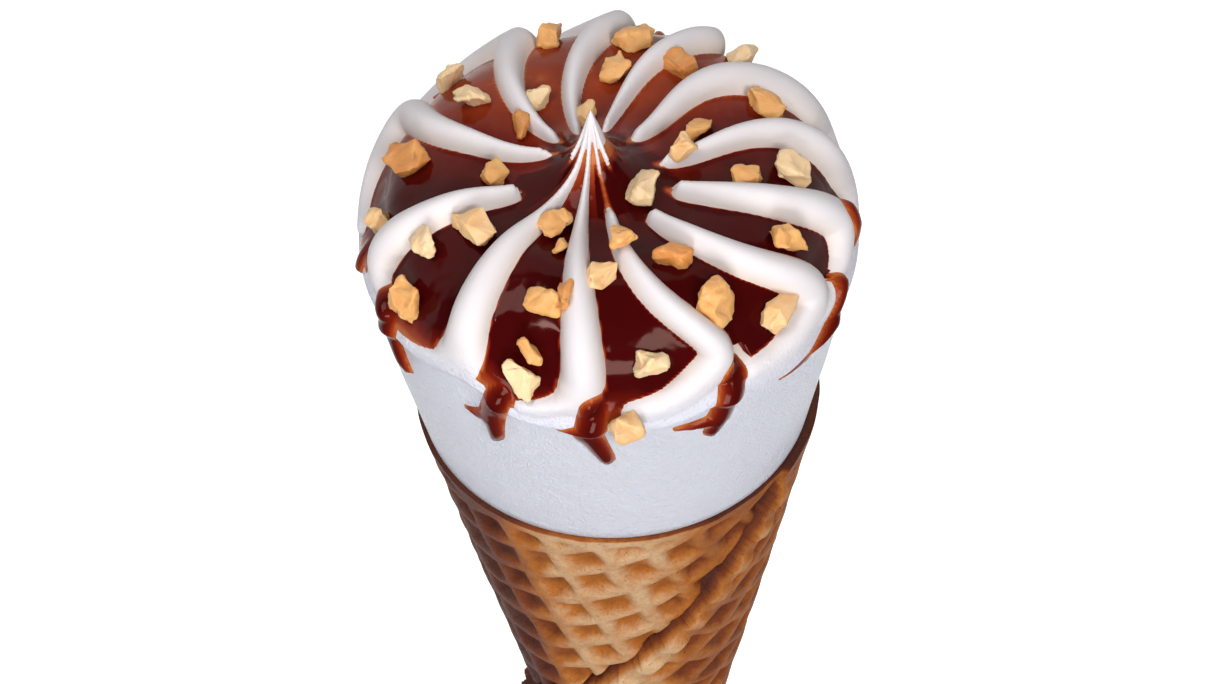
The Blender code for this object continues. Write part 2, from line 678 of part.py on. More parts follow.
def build_wafer(collection, cutters, frame):
    """The rolled wafer with its pressed diamonds, its overlap, and the hollow for the ice cream."""
    rim_slant = RIM_RADIUS / math.sin(HALF_ANGLE)
    tip_slant = (TIP_Z + RIM_RADIUS / math.tan(HALF_ANGLE)) / math.cos(HALF_ANGLE)
    tip_rings = 6

    def place(ring, azimuth):
        share = np.clip((ring - tip_rings) / (WAFER_RINGS - tip_rings), 0.0, 1.0)
        slant = tip_slant + (rim_slant - tip_slant) * share
        point = wafer_point(slant, azimuth)
        cap = np.clip(ring / tip_rings, 0.0, 1.0) * math.pi / 2
        shrink = np.where(ring < tip_rings, np.sin(cap), 1.0)
        point[:, :2] *= shrink[:, None]
        point[:, 2] -= np.where(ring < tip_rings, np.cos(cap) * TIP_ROUNDING * 0.6, 0.0)
        return point

    work = spun_disc(WAFER_RINGS, WAFER_COLUMNS)
    wrap(work, place)
    close_end(work)
    wafer = new_object("wafer", mesh_from("wafer", work), collection, frame)
    thin_out(wafer, WAFER_TRIANGLES)
    hollow = cone_between(cavity_points(0.0, 6.0), CAVITY_SIDES, cutters, frame, "hollow")
    boolean(wafer, "DIFFERENCE", cutter=hollow)
    boolean(wafer, "DIFFERENCE", cutter=rest_cutter(cutters, frame))
    wafer.data.materials.append(material("baked wafer", (0.62, 0.36, 0.14), 0.6))
    return wafer


def rest_cutter(cutters, frame):
    """A block whose top face is the plane that the wafer lies on."""
    length = 200.0
    thickness = 20.0
    work = bmesh.new()
    bmesh.ops.create_cube(work, size=1.0)
    bmesh.ops.scale(work, vec=Vector((60.0, thickness, length)), verts=work.verts)
    lean = Matrix.Rotation(-HALF_ANGLE, 4, "X")
    face = RIM_RADIUS * math.cos(HALF_ANGLE) - REST_CUT + thickness / 2
    bmesh.ops.translate(work, vec=Vector((0.0, face, -40.0)), verts=work.verts)
    bmesh.ops.transform(work, matrix=lean, verts=work.verts)
    return new_object("rest_cutter", mesh_from("rest_cutter", work), cutters, frame)


def lying_frame():
    """The empty that carries the cone's own axes, laid back so the rest flat faces down."""
    frame = bpy.data.objects.new("cone_axis", None)
    bpy.context.scene.collection.objects.link(frame)
    sine, cosine = math.sin(HALF_ANGLE), math.cos(HALF_ANGLE)
    turned = Matrix(((-1.0, 0.0, 0.0), (0.0, -sine, -cosine), (0.0, -cosine, sine)))
    frame.matrix_world = turned.to_4x4()
    return frame


def centre_over_origin(frame, parts):
    """Shift the frame so the origin is under the middle of the whole cone, at floor level."""
    bpy.context.view_layer.update()
    graph = bpy.context.evaluated_depsgraph_get()
    corners = []
    for part in parts:
        shape = part.evaluated_get(graph)
        corners += [shape.matrix_world @ vertex.co for vertex in shape.data.vertices]
    low = Vector([min(corner[axis] for corner in corners) for axis in range(3)])
    high = Vector([max(corner[axis] for corner in corners) for axis in range(3)])
    frame.location = Vector((-(low.x + high.x) / 2, -(low.y + high.y) / 2, -low.z))


def main():
    """Build the two pieces of the cone in one collection."""
    for old in list(bpy.data.objects):
        bpy.data.objects.remove(old)
    collection = bpy.data.collections.new("soft_serve_cone")
    cutters = bpy.data.collections.new("cutters")
    for made in (collection, cutters):
        bpy.context.scene.collection.children.link(made)
    frame = lying_frame()
    parts = [build_ice_cream(collection, frame), build_wafer(collection, cutters, frame)]
    for cutter in cutters.objects:
        cutter.hide_render = True
        cutter.display_type = "WIRE"
    centre_over_origin(frame, parts)


main()
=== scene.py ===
"""Soft serve cone: the piped ice cream, the sauce, the chopped nuts and the wafer, with their finishes."""

import logging
import math
import random
from dataclasses import dataclass, field
from enum import Enum

import bmesh
import bpy
import numpy as np
from mathutils import Matrix, Vector, noise


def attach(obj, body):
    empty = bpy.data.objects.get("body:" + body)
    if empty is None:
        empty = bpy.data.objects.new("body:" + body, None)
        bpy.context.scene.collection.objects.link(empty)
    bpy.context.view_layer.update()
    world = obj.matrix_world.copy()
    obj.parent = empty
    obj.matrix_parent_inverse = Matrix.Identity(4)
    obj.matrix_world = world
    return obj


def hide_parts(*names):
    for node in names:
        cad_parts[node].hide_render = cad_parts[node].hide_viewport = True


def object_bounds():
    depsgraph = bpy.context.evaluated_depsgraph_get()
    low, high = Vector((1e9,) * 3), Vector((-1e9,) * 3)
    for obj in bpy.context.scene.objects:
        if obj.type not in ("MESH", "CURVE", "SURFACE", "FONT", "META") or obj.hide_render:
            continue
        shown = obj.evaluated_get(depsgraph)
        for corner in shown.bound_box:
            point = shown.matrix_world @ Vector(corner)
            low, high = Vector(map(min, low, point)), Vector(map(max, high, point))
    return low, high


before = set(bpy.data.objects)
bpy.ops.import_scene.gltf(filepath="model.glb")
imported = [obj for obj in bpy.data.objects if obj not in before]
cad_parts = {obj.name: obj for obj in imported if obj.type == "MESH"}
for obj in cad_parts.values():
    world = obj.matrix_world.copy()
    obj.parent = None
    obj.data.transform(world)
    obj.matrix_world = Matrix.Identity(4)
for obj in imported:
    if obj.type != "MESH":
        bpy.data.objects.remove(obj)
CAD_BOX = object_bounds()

MM = 0.001
BODY = "root"
IMAGE_WIDTH = 1220

log = logging.getLogger("soft_serve_cone")
logging.basicConfig(level=logging.INFO, format="%(name)s: %(message)s")

Array = np.ndarray
Colour = tuple[float, float, float]
FAR = 99.0


def smoothstep(value: Array, low: float, high: float) -> Array:
    """Rise smoothly from 0 at low to 1 at high."""
    t = np.clip((value - low) / (high - low), 0.0, 1.0)
    return t * t * (3.0 - 2.0 * t)


def smooth_least(a: Array, b: Array, width: float) -> Array:
    """The lesser of two depths, with a fillet of the given width where they meet."""
    mix = np.clip(0.5 + 0.5 * (b - a) / width, 0.0, 1.0)
    return b + (a - b) * mix - width * mix * (1.0 - mix)


def bumps(points: Array, scale: float, seed: float) -> Array:
    """Smooth noise between about -1 and 1.

    Args:
        points: places in millimetres, one row each.
        scale: size of a lump in millimetres.
        seed: shifts the pattern, so that two uses differ.

    Returns:
        One value for each place.
    """
    return np.array([noise.noise(Vector(point) / scale + Vector((seed, 0.0, 0.0))) for point in points])


def degrees_past(azimuth: Array, base: Array | float) -> Array:
    """Degrees from a base azimuth to another one, between -180 and 180."""
    return np.mod(azimuth - base + 180.0, 360.0) - 180.0


def about_axis(radius: Array | float, azimuth: Array, z: Array | float) -> Array:
    """Points at a radius, an azimuth in degrees and a height about the cone's axis."""
    angle = np.radians(azimuth)
    return np.stack(np.broadcast_arrays(radius * np.cos(angle), radius * np.sin(angle), z), axis=-1)


@dataclass(frozen=True)
class Ridge:
    """A piped ridge.

    It has an azimuth at three plan radii, the height over the band's edge at which it folds
    sideways, the azimuth and height of the tip of its folded foot, the plan radius at which it
    rises out of the sauce, or 0 where it runs bare up to the peak, its breadth and its foot's
    breadth over the usual ones, and how deep the drowned part to its root at the peak lies over
    the sauce's depth, or 0 where it has no root.
    """

    inner: float
    middle: float
    shoulder: float
    fold: float
    foot_tip: float
    rises: float
    tip_height: float = 2.4
    breadth: float = 1.0
    foot_breadth: float = 1.0
    root_depth: float = 0.0


@dataclass(frozen=True)
class Drip:
    """A run of sauce down the side: start and end (azimuth, height), and its half widths."""

    start: tuple[float, float]
    end: tuple[float, float]
    widths: tuple[float, float]


class Tone(Enum):
    """Colour of a chopped nut, from blanched to roasted."""

    PALE = 0.1
    PEACH = 0.35
    GOLD = 0.65
    TAN = 0.95


@dataclass(frozen=True)
class Nut:
    """A chopped nut: plan radius, azimuth, three sizes, the turn about its seat, and its colour."""

    radius: float
    azimuth: float
    length: float
    width: float
    thickness: float
    turn: float
    tone: Tone = Tone.GOLD


@dataclass(frozen=True)
class WaferForm:
    """Sizes of the rolled wafer, in millimetres about the cone's axis, with the rim at z = 0."""

    rim_radius: float = 24.0
    half_angle: float = math.radians(11.0)
    tip_z: float = -113.5
    tip_rounding: float = 3.2
    wall: float = 2.3
    rim_wall: float = 1.1
    rim_strip: float = 2.0
    rim_thinning: float = 2.5
    cavity_end_radius: float = 1.0
    cavity_end_z: float = -97.0
    diamond_width: float = 9.3
    diamond_height: float = 7.6
    diamond_node: tuple[float, float] = (2.79, 116.8)
    pit_depth: float = 1.1
    seam_normal: float = math.radians(-55.5)
    seam_distance: float = 51.5
    seam_step: float = 0.85
    groove_width: float = 1.0
    groove_depth: float = 1.6
    knob_pitch: float = 5.5
    knob_reach: float = 3.6
    knob_height: float = 0.9
    rest_azimuth: float = 90.0
    rest_cut: float = 0.35
    rest_plain: float = 2.6
    rest_fade: float = 5.5
    wobble: float = 0.14
    unevenness: float = 1.0
    unevenness_size: float = 7.0
    pit_edge: tuple[float, float] = (0.12, 0.8)
    pit_variation: float = 0.45
    pit_variation_size: float = 6.0
    strip_fade: tuple[float, float] = (-0.6, 1.0)
    tip_fade: tuple[float, float] = (14.0, 30.0)
    seam_fade: float = 14.0
    groove_core: float = 0.5
    groove_variation: float = 0.3
    knob_core: float = 0.55
    knob_base: float = 0.3
    knob_edge: float = 0.7
    knob_in_crack: float = 0.6

    @property
    def rim_slant(self) -> float:
        """Distance from the apex to the rim along the face."""
        return self.rim_radius / math.sin(self.half_angle)

    @property
    def tip_slant(self) -> float:
        """Distance from the apex to the start of the rounded tip along the face."""
        return (self.tip_z + self.rim_radius / math.tan(self.half_angle)) / math.cos(self.half_angle)

    def relief(self, slant: Array, azimuth: Array) -> tuple[Array, Array, Array]:
        """Height of the pressed pattern and the overlap over the plain cone.

        Args:
            slant: distance from the apex along the face.
            azimuth: degrees about the axis.

        Returns:
            The height, how deep in a pit each place lies, and how deep in the crack of the
            overlap, which is below 0 on its knobs; the last two are masks for painted shade in
            the pits and the crack, and for painted light on the knobs.
        """
        sheet_turn = 2.0 * math.pi * math.sin(self.half_angle)
        seam = self.seam_normal + np.arccos(np.clip(self.seam_distance / slant, 0.0, 1.0))
        past = np.mod(np.radians(azimuth - 270.0) * math.sin(self.half_angle) - seam, sheet_turn)
        roll = seam + past
        x = slant * np.sin(roll) - self.diamond_node[0]
        y = slant * np.cos(roll) - self.diamond_node[1]
        sheet = np.stack([x, y, 0.0 * x], axis=-1)
        x = x + self.unevenness * bumps(sheet, self.unevenness_size, 21.0)
        y = y + self.unevenness * bumps(sheet, self.unevenness_size, 42.0)
        first = np.mod(x / self.diamond_width + y / self.diamond_height, 1.0)
        second = np.mod(x / self.diamond_width - y / self.diamond_height, 1.0)
        pit = 1.0 - np.maximum(np.abs(2.0 * first - 1.0), np.abs(2.0 * second - 1.0))
        pit = smoothstep(pit, *self.pit_edge)
        below_strip = self.rim_slant - slant - self.rim_strip
        pressed = smoothstep(below_strip, *self.strip_fade) * smoothstep(slant, *self.tip_fade)

        shown = smoothstep(slant, self.seam_distance, self.seam_distance + self.seam_fade)
        outside = self.seam_distance - slant * np.cos(roll - self.seam_normal)
        inside = slant * np.cos(roll - sheet_turn - self.seam_normal) - self.seam_distance
        outside = np.where(past < sheet_turn / 2, outside, FAR)
        inside = np.where(past > sheet_turn / 2, inside, FAR)
        beads = np.cos(2.0 * math.pi * slant * np.sin(roll - self.seam_normal) / self.knob_pitch)
        layer = self.seam_step * (1.0 - past / sheet_turn) * shown
        gap = self.groove_width * (1.0 - self.groove_variation * beads)
        groove = self.groove_depth * (1.0 - smoothstep(inside, self.groove_core * gap, gap))
        near = 1.0 - smoothstep(outside, self.knob_reach * self.knob_core, self.knob_reach)
        bead = smoothstep(beads, -self.knob_edge, self.knob_edge)
        knob = near * (self.knob_base + (1.0 - self.knob_base) * bead) * self.knob_height
        pit = pit * (1.0 - near * shown)
        varied = 1.0 + self.pit_variation * bumps(sheet, self.pit_variation_size, 63.0)
        height = layer + pressed * (knob * shown - groove * shown - self.pit_depth * pit * varied)
        hollow = pressed * pit
        on_knob = self.knob_in_crack * knob / self.knob_height
        crack = pressed * shown * (groove / self.groove_depth - on_knob)
        return height, hollow, crack

    def rest_share(self, slant: Array, azimuth: Array) -> Array:
        """How far the relief is pressed flat along the strip that the cone lies on.

        Args:
            slant: distance from the apex along the face.
            azimuth: degrees about the axis.

        Returns:
            1 on the strip, fading to 0 beside it.
        """
        across = np.abs(degrees_past(azimuth, self.rest_azimuth))
        offset = np.radians(across) * slant * math.sin(self.half_angle)
        return 1.0 - smoothstep(offset, self.rest_plain, self.rest_fade)

    def cavity(self, gap: float) -> list[tuple[float, float]]:
        """Radius and height of the hollow, or of the plug in it with a gap all round, rim first.

        Args:
            gap: how far to stay inside the hollow.

        Returns:
            Pairs of a radius and a height.
        """
        slope = math.tan(self.half_angle)
        strip = self.rim_strip + self.rim_thinning
        end = self.rim_radius - self.wall / math.cos(self.half_angle) + self.cavity_end_z * slope
        return [
            (self.rim_radius - self.rim_wall - gap, 0.0),
            (self.rim_radius - self.wall - strip * slope - gap, -strip),
            (max(end, self.cavity_end_radius) - gap, self.cavity_end_z + gap),
        ]


# Azimuths are in degrees about the axis, counter-clockwise as seen from the peak; 270 faces the viewer.
RIDGE_RADII = (8.0, 17.0, 26.0)
RIDGES = (
    Ridge(256, 258.5, 261.3, 5.0, 247, rises=0.0, tip_height=1.8, foot_breadth=0.75),
    Ridge(228, 228.3, 230.7, 1.4, 214, rises=0.0, tip_height=0.6, breadth=1.1, foot_breadth=0.7),
    Ridge(200, 198, 196, 5.0, 208, rises=9.0, root_depth=2.4),
    Ridge(162, 163, 152, 8.0, 182, rises=5.5),
    Ridge(134, 127, 112, 9.0, 145, rises=6.0),
    Ridge(107, 97, 84, 9.0, 108, rises=5.5),
    Ridge(75, 68, 58, 9.0, 76, rises=5.5, breadth=0.85),
    Ridge(43, 44, 30, 7.0, 18, rises=6.0, breadth=1.25),
    Ridge(3, 11.5, 8, 5.5, -8, rises=7.5),
    Ridge(-24, -21.5, -14, 5.5, -36, rises=9.0, breadth=1.1),
    Ridge(-53, -50, -38, 4.5, -58, rises=9.0, foot_breadth=1.4, root_depth=2.4),
    Ridge(-80, -79.5, -68.5, 5.5, -88, rises=7.0, breadth=0.85, foot_breadth=1.1, root_depth=1.2),
)
BAND_EDGE = (
    (20, 28.0), (50, 28.8), (80, 28.6), (110, 28.0), (140, 28.4), (170, 28.6), (195, 28.2),
    (219, 28.6), (232, 30.4), (240, 29.4), (246, 26.8), (255, 26.6), (266, 26.8), (282, 26.4),
    (293, 28.0), (302, 27.6), (312, 26.4), (326, 27.0), (350, 27.6),
)
DRIPS = (
    Drip((265, 30.0), (263, 25.0), (1.9, 1.9)),
    Drip((263, 25.5), (267, 20.0), (1.8, 1.1)),
    Drip((264, 26.6), (256, 25.9), (1.3, 0.4)),
    Drip((243, 30.0), (240, 25.5), (1.7, 1.8)),
    Drip((240, 25.5), (240, 21.0), (1.8, 1.1)),
    Drip((239, 24.6), (232, 24.1), (1.2, 0.4)),
    Drip((298, 31.0), (294, 24.6), (1.7, 1.9)),
    Drip((294, 24.6), (292, 22.2), (1.8, 1.1)),
    Drip((293, 24.4), (283, 24.7), (1.2, 0.4)),
    Drip((335, 31.0), (329, 27.4), (1.0, 1.2)),
    Drip((329, 27.4), (319, 25.6), (1.2, 0.9)),
    Drip((319, 25.6), (311, 25.2), (0.9, 0.35)),
    Drip((207, 32.0), (208, 27.0), (2.2, 1.9)),
    Drip((208, 27.0), (212, 22.5), (1.9, 0.9)),
    Drip((187, 35.0), (188, 28.0), (1.5, 0.9)),
    Drip((149, 33.0), (148, 27.5), (1.6, 0.9)),
    Drip((113, 33.0), (112, 29.0), (1.5, 0.9)),
    Drip((77, 33.0), (76, 28.0), (1.6, 0.9)),
    Drip((41, 34.0), (42, 29.5), (1.9, 1.0)),
    Drip((13, 35.0), (12, 31.0), (1.5, 0.9)),
    Drip((351, 35.0), (349, 30.0), (1.4, 0.9)),
)
NUTS = (
    Nut(24.2, 105, 4.8, 2.8, 2.8, 80, Tone.GOLD), Nut(25.6, 136, 3.8, 3.0, 2.8, 20, Tone.PALE),
    Nut(19.0, 144, 4.0, 3.0, 2.6, 150, Tone.PALE), Nut(12.8, 122, 3.4, 2.6, 2.4, 10, Tone.PALE),
    Nut(11.0, 142, 3.6, 2.6, 2.6, 60, Tone.TAN), Nut(8.0, 100, 3.6, 2.6, 2.6, 70, Tone.PEACH),
    Nut(23.8, 172, 5.6, 4.2, 3.2, 300, Tone.TAN), Nut(11.5, 182, 3.4, 2.8, 2.4, 60, Tone.GOLD),
    Nut(27.6, 186, 4.4, 3.6, 2.8, 40, Tone.PEACH), Nut(17.5, 212, 5.6, 3.8, 3.0, 290, Tone.PEACH),
    Nut(23.6, 204, 4.6, 3.2, 2.8, 300, Tone.PALE), Nut(10.0, 240, 4.0, 3.2, 2.6, 20, Tone.GOLD),
    Nut(17.0, 267, 4.2, 2.8, 2.6, 50, Tone.PEACH), Nut(22.0, 249, 4.6, 3.4, 2.8, 340, Tone.GOLD),
    Nut(21.0, 256, 3.2, 2.0, 2.2, 80, Tone.TAN), Nut(27.2, 249, 3.4, 2.4, 2.4, 300, Tone.GOLD),
    Nut(28.7, 248, 5.4, 2.6, 2.6, 300, Tone.PALE), Nut(28.6, 212, 5.4, 3.8, 3.0, 70, Tone.GOLD),
    Nut(13.6, 279, 3.2, 2.6, 2.4, 40, Tone.GOLD), Nut(17.0, 297, 4.4, 2.8, 2.6, 330, Tone.TAN),
    Nut(24.4, 300, 5.6, 4.2, 3.2, 320, Tone.GOLD), Nut(27.9, 315, 5.4, 3.2, 2.8, 50, Tone.PEACH),
    Nut(28.0, 279, 3.8, 3.4, 2.8, 350, Tone.PALE), Nut(29.09, 272, 4.4, 3.8, 2.8, 70, Tone.PEACH),
    Nut(24.2, 330, 4.6, 3.6, 3.0, 20, Tone.GOLD), Nut(6.5, 322, 4.8, 3.4, 3.2, 80, Tone.PALE),
    Nut(14.6, 81, 4.4, 3.0, 2.6, 50, Tone.GOLD), Nut(20.8, 78, 5.0, 3.4, 2.8, 10, Tone.GOLD),
    Nut(18.0, 58, 5.0, 2.6, 2.6, 310, Tone.TAN), Nut(25.4, 48, 4.4, 3.2, 3.0, 70, Tone.PALE),
    Nut(21.2, 24, 5.0, 2.8, 2.6, 320, Tone.GOLD), Nut(12.5, 22, 4.0, 2.4, 2.2, 20, Tone.GOLD),
    Nut(9.8, 2, 5.0, 2.6, 2.6, 60, Tone.PEACH), Nut(22.0, 355, 5.0, 3.4, 2.6, 335, Tone.PALE),
    Nut(16.8, 349, 3.4, 2.4, 2.2, 20, Tone.GOLD), Nut(12.5, 249, 2.2, 1.8, 1.6, 10, Tone.GOLD),
)


@dataclass(frozen=True)
class HeadForm:
    """Sizes of the piped head, in millimetres about the cone's axis, with the rim at z = 0."""

    fit_gap: float = 0.3
    band_foot_radius: float = 23.65
    band_slope: float = 0.197
    band_top_radius: float = 28.85
    lobe_radius: float = 29.1
    crest_top: float = 43.0
    squareness: float = 3.1
    lip_height: float = 0.9
    peak_height: float = 7.0
    peak_width: float = 1.95
    peak_sharpness: float = 1.35
    centre: tuple[float, float] = (-1.4, -1.4)
    centre_fade: float = 26.0
    sag: float = 1.7
    sag_radius: float = 8.5
    sag_width: float = 6.0
    ridge_half_width: float = 0.108
    sauce_depth: float = 2.6
    sauce_depth_radius: float = 8.0
    floor_share: float = 1.65
    shoulder_reach: float = 8.0
    foot_half_width: tuple[float, float] = (2.4, 1.2)
    least_wall: float = 0.6
    fillet: float = 0.7
    drip_thickness: float = 1.0
    root_flare: float = 1.6
    cleft_azimuth: float = 270.0
    cleft_breadth: float = 9.0
    cleft_share: float = 0.8
    cleft_start: tuple[float, float] = (0.8, 1.6)
    peak_bare: tuple[float, float] = (0.7, 2.4)
    root_start: tuple[float, float] = (2.4, 3.6)
    root_reach: float = 3.0
    rise_reach: float = 1.2
    buried_reach: float = 1.4
    least_drowned: float = 1.2
    shoulder_radius: float = 28.6
    foot_curve: float = 1.8
    path_rounding: int = 7
    main_steps: int = 110
    foot_steps: int = 40
    edge_spread: float = 3.0
    drip_taper: float = 1.2
    sauce_depth_power: float = 1.4
    wall_fade: float = 0.8

    def edge(self, azimuth: Array) -> Array:
        """Height of the wavy top edge of the band, where the lobes start.

        Args:
            azimuth: degrees about the axis.

        Returns:
            The height at each azimuth.
        """
        angles = np.array([place[0] for place in BAND_EDGE], float)
        heights = np.array([place[1] for place in BAND_EDGE], float)
        angles = np.concatenate([angles - 360.0, angles, angles + 360.0])
        heights = np.tile(heights, 3)
        turned = np.mod(azimuth, 360.0)
        before, here, after = (
            np.interp(turned + side * self.edge_spread, angles, heights) for side in (-1, 0, 1)
        )
        return (before + 2.0 * here + after) / 4.0

    def band_radius(self, z: Array) -> Array:
        """Radius of the smooth band above the wafer's rim."""
        slope = self.band_foot_radius + self.band_slope * z
        return smooth_least(slope, np.full(np.shape(z), self.band_top_radius), 2.0)

    def on_plan(self, radius: Array, azimuth: Array, z: Array) -> Array:
        """Place a plan radius and azimuth about the rosette's centre, which fades to the axis.

        Args:
            radius: plan radius.
            azimuth: degrees about the axis.
            z: height over the rim.

        Returns:
            One point for each place.
        """
        shift = 1.0 - smoothstep(radius, 0.0, self.centre_fade)
        points = about_axis(radius, azimuth, z)
        points[..., 0] += self.centre[0] * shift
        points[..., 1] += self.centre[1] * shift
        return points

    def radius_at(self, turn: Array) -> Array:
        """Plan radius of the crest surface, a rounded square from the side."""
        return self.lobe_radius * np.sin(turn) ** (2.0 / self.squareness)

    def turn_at(self, radius: Array) -> Array:
        """The turn at which the crest surface has this plan radius."""
        return np.arcsin(np.clip((radius / self.lobe_radius) ** (self.squareness / 2.0), 0.0, 1.0))

    def turn_over_edge(self, height: Array, azimuth: Array) -> Array:
        """The turn at which the crest surface stands this far over the band's edge."""
        rise = np.clip(height / (self.crest_top - self.edge(azimuth)), 0.0, 1.0)
        return np.arccos(rise ** (self.squareness / 2.0))

    def crest(self, turn: Array, azimuth: Array) -> Array:
        """The surface that touches all the crests; turn runs from 0 at the peak to pi/2 at the band.

        Args:
            turn: places along the surface, from 0 at the peak to pi/2 at the edge of the band.
            azimuth: degrees about the axis.

        Returns:
            One point for each place.
        """
        edge = self.edge(azimuth)
        radius = self.radius_at(turn)
        z = edge + (self.crest_top - edge) * np.cos(turn) ** (2.0 / self.squareness)
        z = z - self.sag * np.exp(-(((radius - self.sag_radius) / self.sag_width) ** 2))
        z = z + self.peak_height * np.exp(-((radius / self.peak_width) ** self.peak_sharpness))
        return self.on_plan(radius, azimuth, z)

    def normals(self, turn: Array, azimuth: Array) -> Array:
        """Outward normals of the crest surface by small differences.

        Args:
            turn: places along the surface, from 0 at the peak to pi/2 at the edge of the band.
            azimuth: degrees about the axis.

        Returns:
            One unit vector for each place.
        """
        step = 1e-3
        along = self.crest(np.minimum(turn + step, math.pi / 2), azimuth)
        along = along - self.crest(np.maximum(turn - step, 1e-6), azimuth)
        across = self.crest(turn, azimuth + 0.1) - self.crest(turn, azimuth - 0.1)
        normal = np.cross(along, across)
        length = np.linalg.norm(normal, axis=-1, keepdims=True)
        return normal / np.maximum(length, 1e-12)

    def even_turns(self, count: int) -> Array:
        """Turns from the peak to the band's edge, evenly spaced along the surface.

        Args:
            count: how many turns.

        Returns:
            The turns, from 0 up.
        """
        fine = (np.linspace(0.0, 1.0, 4000) ** 1.5) * math.pi / 2
        profile = self.crest(fine, np.full(fine.shape, 270.0))
        length = np.concatenate([[0.0], np.cumsum(np.linalg.norm(np.diff(profile, axis=0), axis=1))])
        return np.interp(np.linspace(0.0, length[-1], count), length, fine)

    def ridge_azimuth(self, ridge: Ridge, radius: Array) -> Array:
        """Azimuth of a ridge's crest at a plan radius."""
        named = (ridge.inner, ridge.middle, ridge.shoulder)
        return np.polyval(np.polyfit(RIDGE_RADII, named, 2), np.maximum(radius, 4.0))

    def ridge_line(self, ridge: Ridge) -> tuple[Array, Array, Array]:
        """The crest of one ridge, out over the shoulder and along its folded foot.

        Args:
            ridge: the ridge to follow.

        Returns:
            Points on the crest surface, the half width at each, and how far each is drowned.
        """
        turns = self.even_turns(self.main_steps)[1:]
        azimuth = self.ridge_azimuth(ridge, self.radius_at(turns))
        start = 0.0 if ridge.root_depth else ridge.rises - self.buried_reach
        main = (turns < self.turn_over_edge(ridge.fold, azimuth)) & (self.radius_at(turns) > start)
        turns, azimuth = turns[main], azimuth[main]
        along = np.linspace(0.0, 1.0, self.foot_steps)[1:]
        foot_azimuth = azimuth[-1] + (ridge.foot_tip - azimuth[-1]) * along
        foot_turns = self.turn_over_edge(self.foot_height(ridge, along), foot_azimuth)
        radius = self.radius_at(turns)
        flare = self.root_flare * np.exp(-((radius / self.root_reach) ** 2))
        half_width = self.ridge_half_width * (radius + flare) * ridge.breadth
        bend = np.minimum(1.0, along * 3.0)
        foot_width = self.foot_half_width[0] + (self.foot_half_width[1] - self.foot_half_width[0]) * along
        foot_width = half_width[-1] * (1.0 - bend) + foot_width * bend * ridge.foot_breadth
        drowned = max(ridge.root_depth, self.least_drowned) * smoothstep(radius, *self.root_start)
        shows = smoothstep(radius, ridge.rises - self.rise_reach, ridge.rises + self.rise_reach)
        drowned = drowned * (1.0 - shows)
        line = self.crest(
            self.rounded(np.concatenate([turns, foot_turns])),
            self.rounded(np.concatenate([azimuth, foot_azimuth])),
        )
        return (
            line,
            np.concatenate([half_width, foot_width]),
            np.concatenate([drowned, np.zeros(len(foot_turns))]),
        )

    def foot_height(self, ridge: Ridge, along: Array) -> Array:
        """Height over the band's edge along a ridge's folded foot, from 0 at the fold to 1 at its tip."""
        return ridge.tip_height + (ridge.fold - ridge.tip_height) * (1.0 - along) ** self.foot_curve

    def rounded(self, values: Array) -> Array:
        """Round the corners of a path by a running mean."""
        window = 2 * self.path_rounding + 1
        padded = np.pad(values, self.path_rounding, mode="edge")
        return np.convolve(padded, np.full(window, 1.0 / window), mode="valid")

    def nearest_ridge(self, points: Array) -> tuple[Array, Array]:
        """Distance to the nearest ridge over its half width, and how far that ridge is drowned.

        Args:
            points: places on the crest surface.

        Returns:
            The two values for each place.
        """
        lines = [self.ridge_line(ridge) for ridge in RIDGES]
        crest, width, drowned = (np.concatenate(part) for part in zip(*lines))
        weight = 1.0 / width**2
        offset = (crest**2).sum(axis=1) * weight
        share = np.empty(len(points))
        sunk = np.empty(len(points))
        block = 4000
        for start in range(0, len(points), block):
            part = points[start : start + block]
            square = (part**2).sum(axis=1)[:, None] * weight + offset - 2.0 * (part @ (crest.T * weight))
            nearest = square.argmin(axis=1)
            least = square[np.arange(len(part)), nearest]
            share[start : start + block] = np.sqrt(np.maximum(least, 0.0))
            sunk[start : start + block] = drowned[nearest]
        return share, sunk

    def rim_wall(self, azimuth: Array) -> Array:
        """Height over the band's edge of the wall that the folded feet make round the rosette.

        Args:
            azimuth: degrees about the axis.

        Returns:
            The height at each azimuth.
        """
        height = np.full(np.shape(azimuth), self.least_wall)
        for ridge in RIDGES:
            start = self.ridge_azimuth(ridge, np.array(self.shoulder_radius))
            along = degrees_past(azimuth, start) / (ridge.foot_tip - start)
            wall = self.foot_height(ridge, np.clip(along, 0.0, 1.0))
            height = np.where((along > -0.25) & (along < 1.0), np.maximum(height, wall), height)
        return height

    def drip_cover(self, azimuth: Array, z: Array) -> Array:
        """Thickness of the runs of sauce on the side of the head, and below 0 away from them.

        Args:
            azimuth: degrees about the axis.
            z: height over the rim.

        Returns:
            The thickness at each place.
        """
        cover = np.full(np.shape(azimuth), -2.0)
        for drip in DRIPS:
            x = np.radians(degrees_past(azimuth, drip.start[0])) * self.lobe_radius
            y = z - drip.start[1]
            run_x = math.radians(drip.end[0] - drip.start[0]) * self.lobe_radius
            run_y = drip.end[1] - drip.start[1]
            along = np.clip((x * run_x + y * run_y) / (run_x**2 + run_y**2), 0.0, 1.0)
            width = drip.widths[0] + (drip.widths[1] - drip.widths[0]) * along
            share = np.hypot(x - run_x * along, y - run_y * along) / width
            thickness = self.drip_thickness * np.minimum(1.0, width / self.drip_taper)
            cover = np.maximum(cover, thickness * (1.0 - share**2))
        return cover

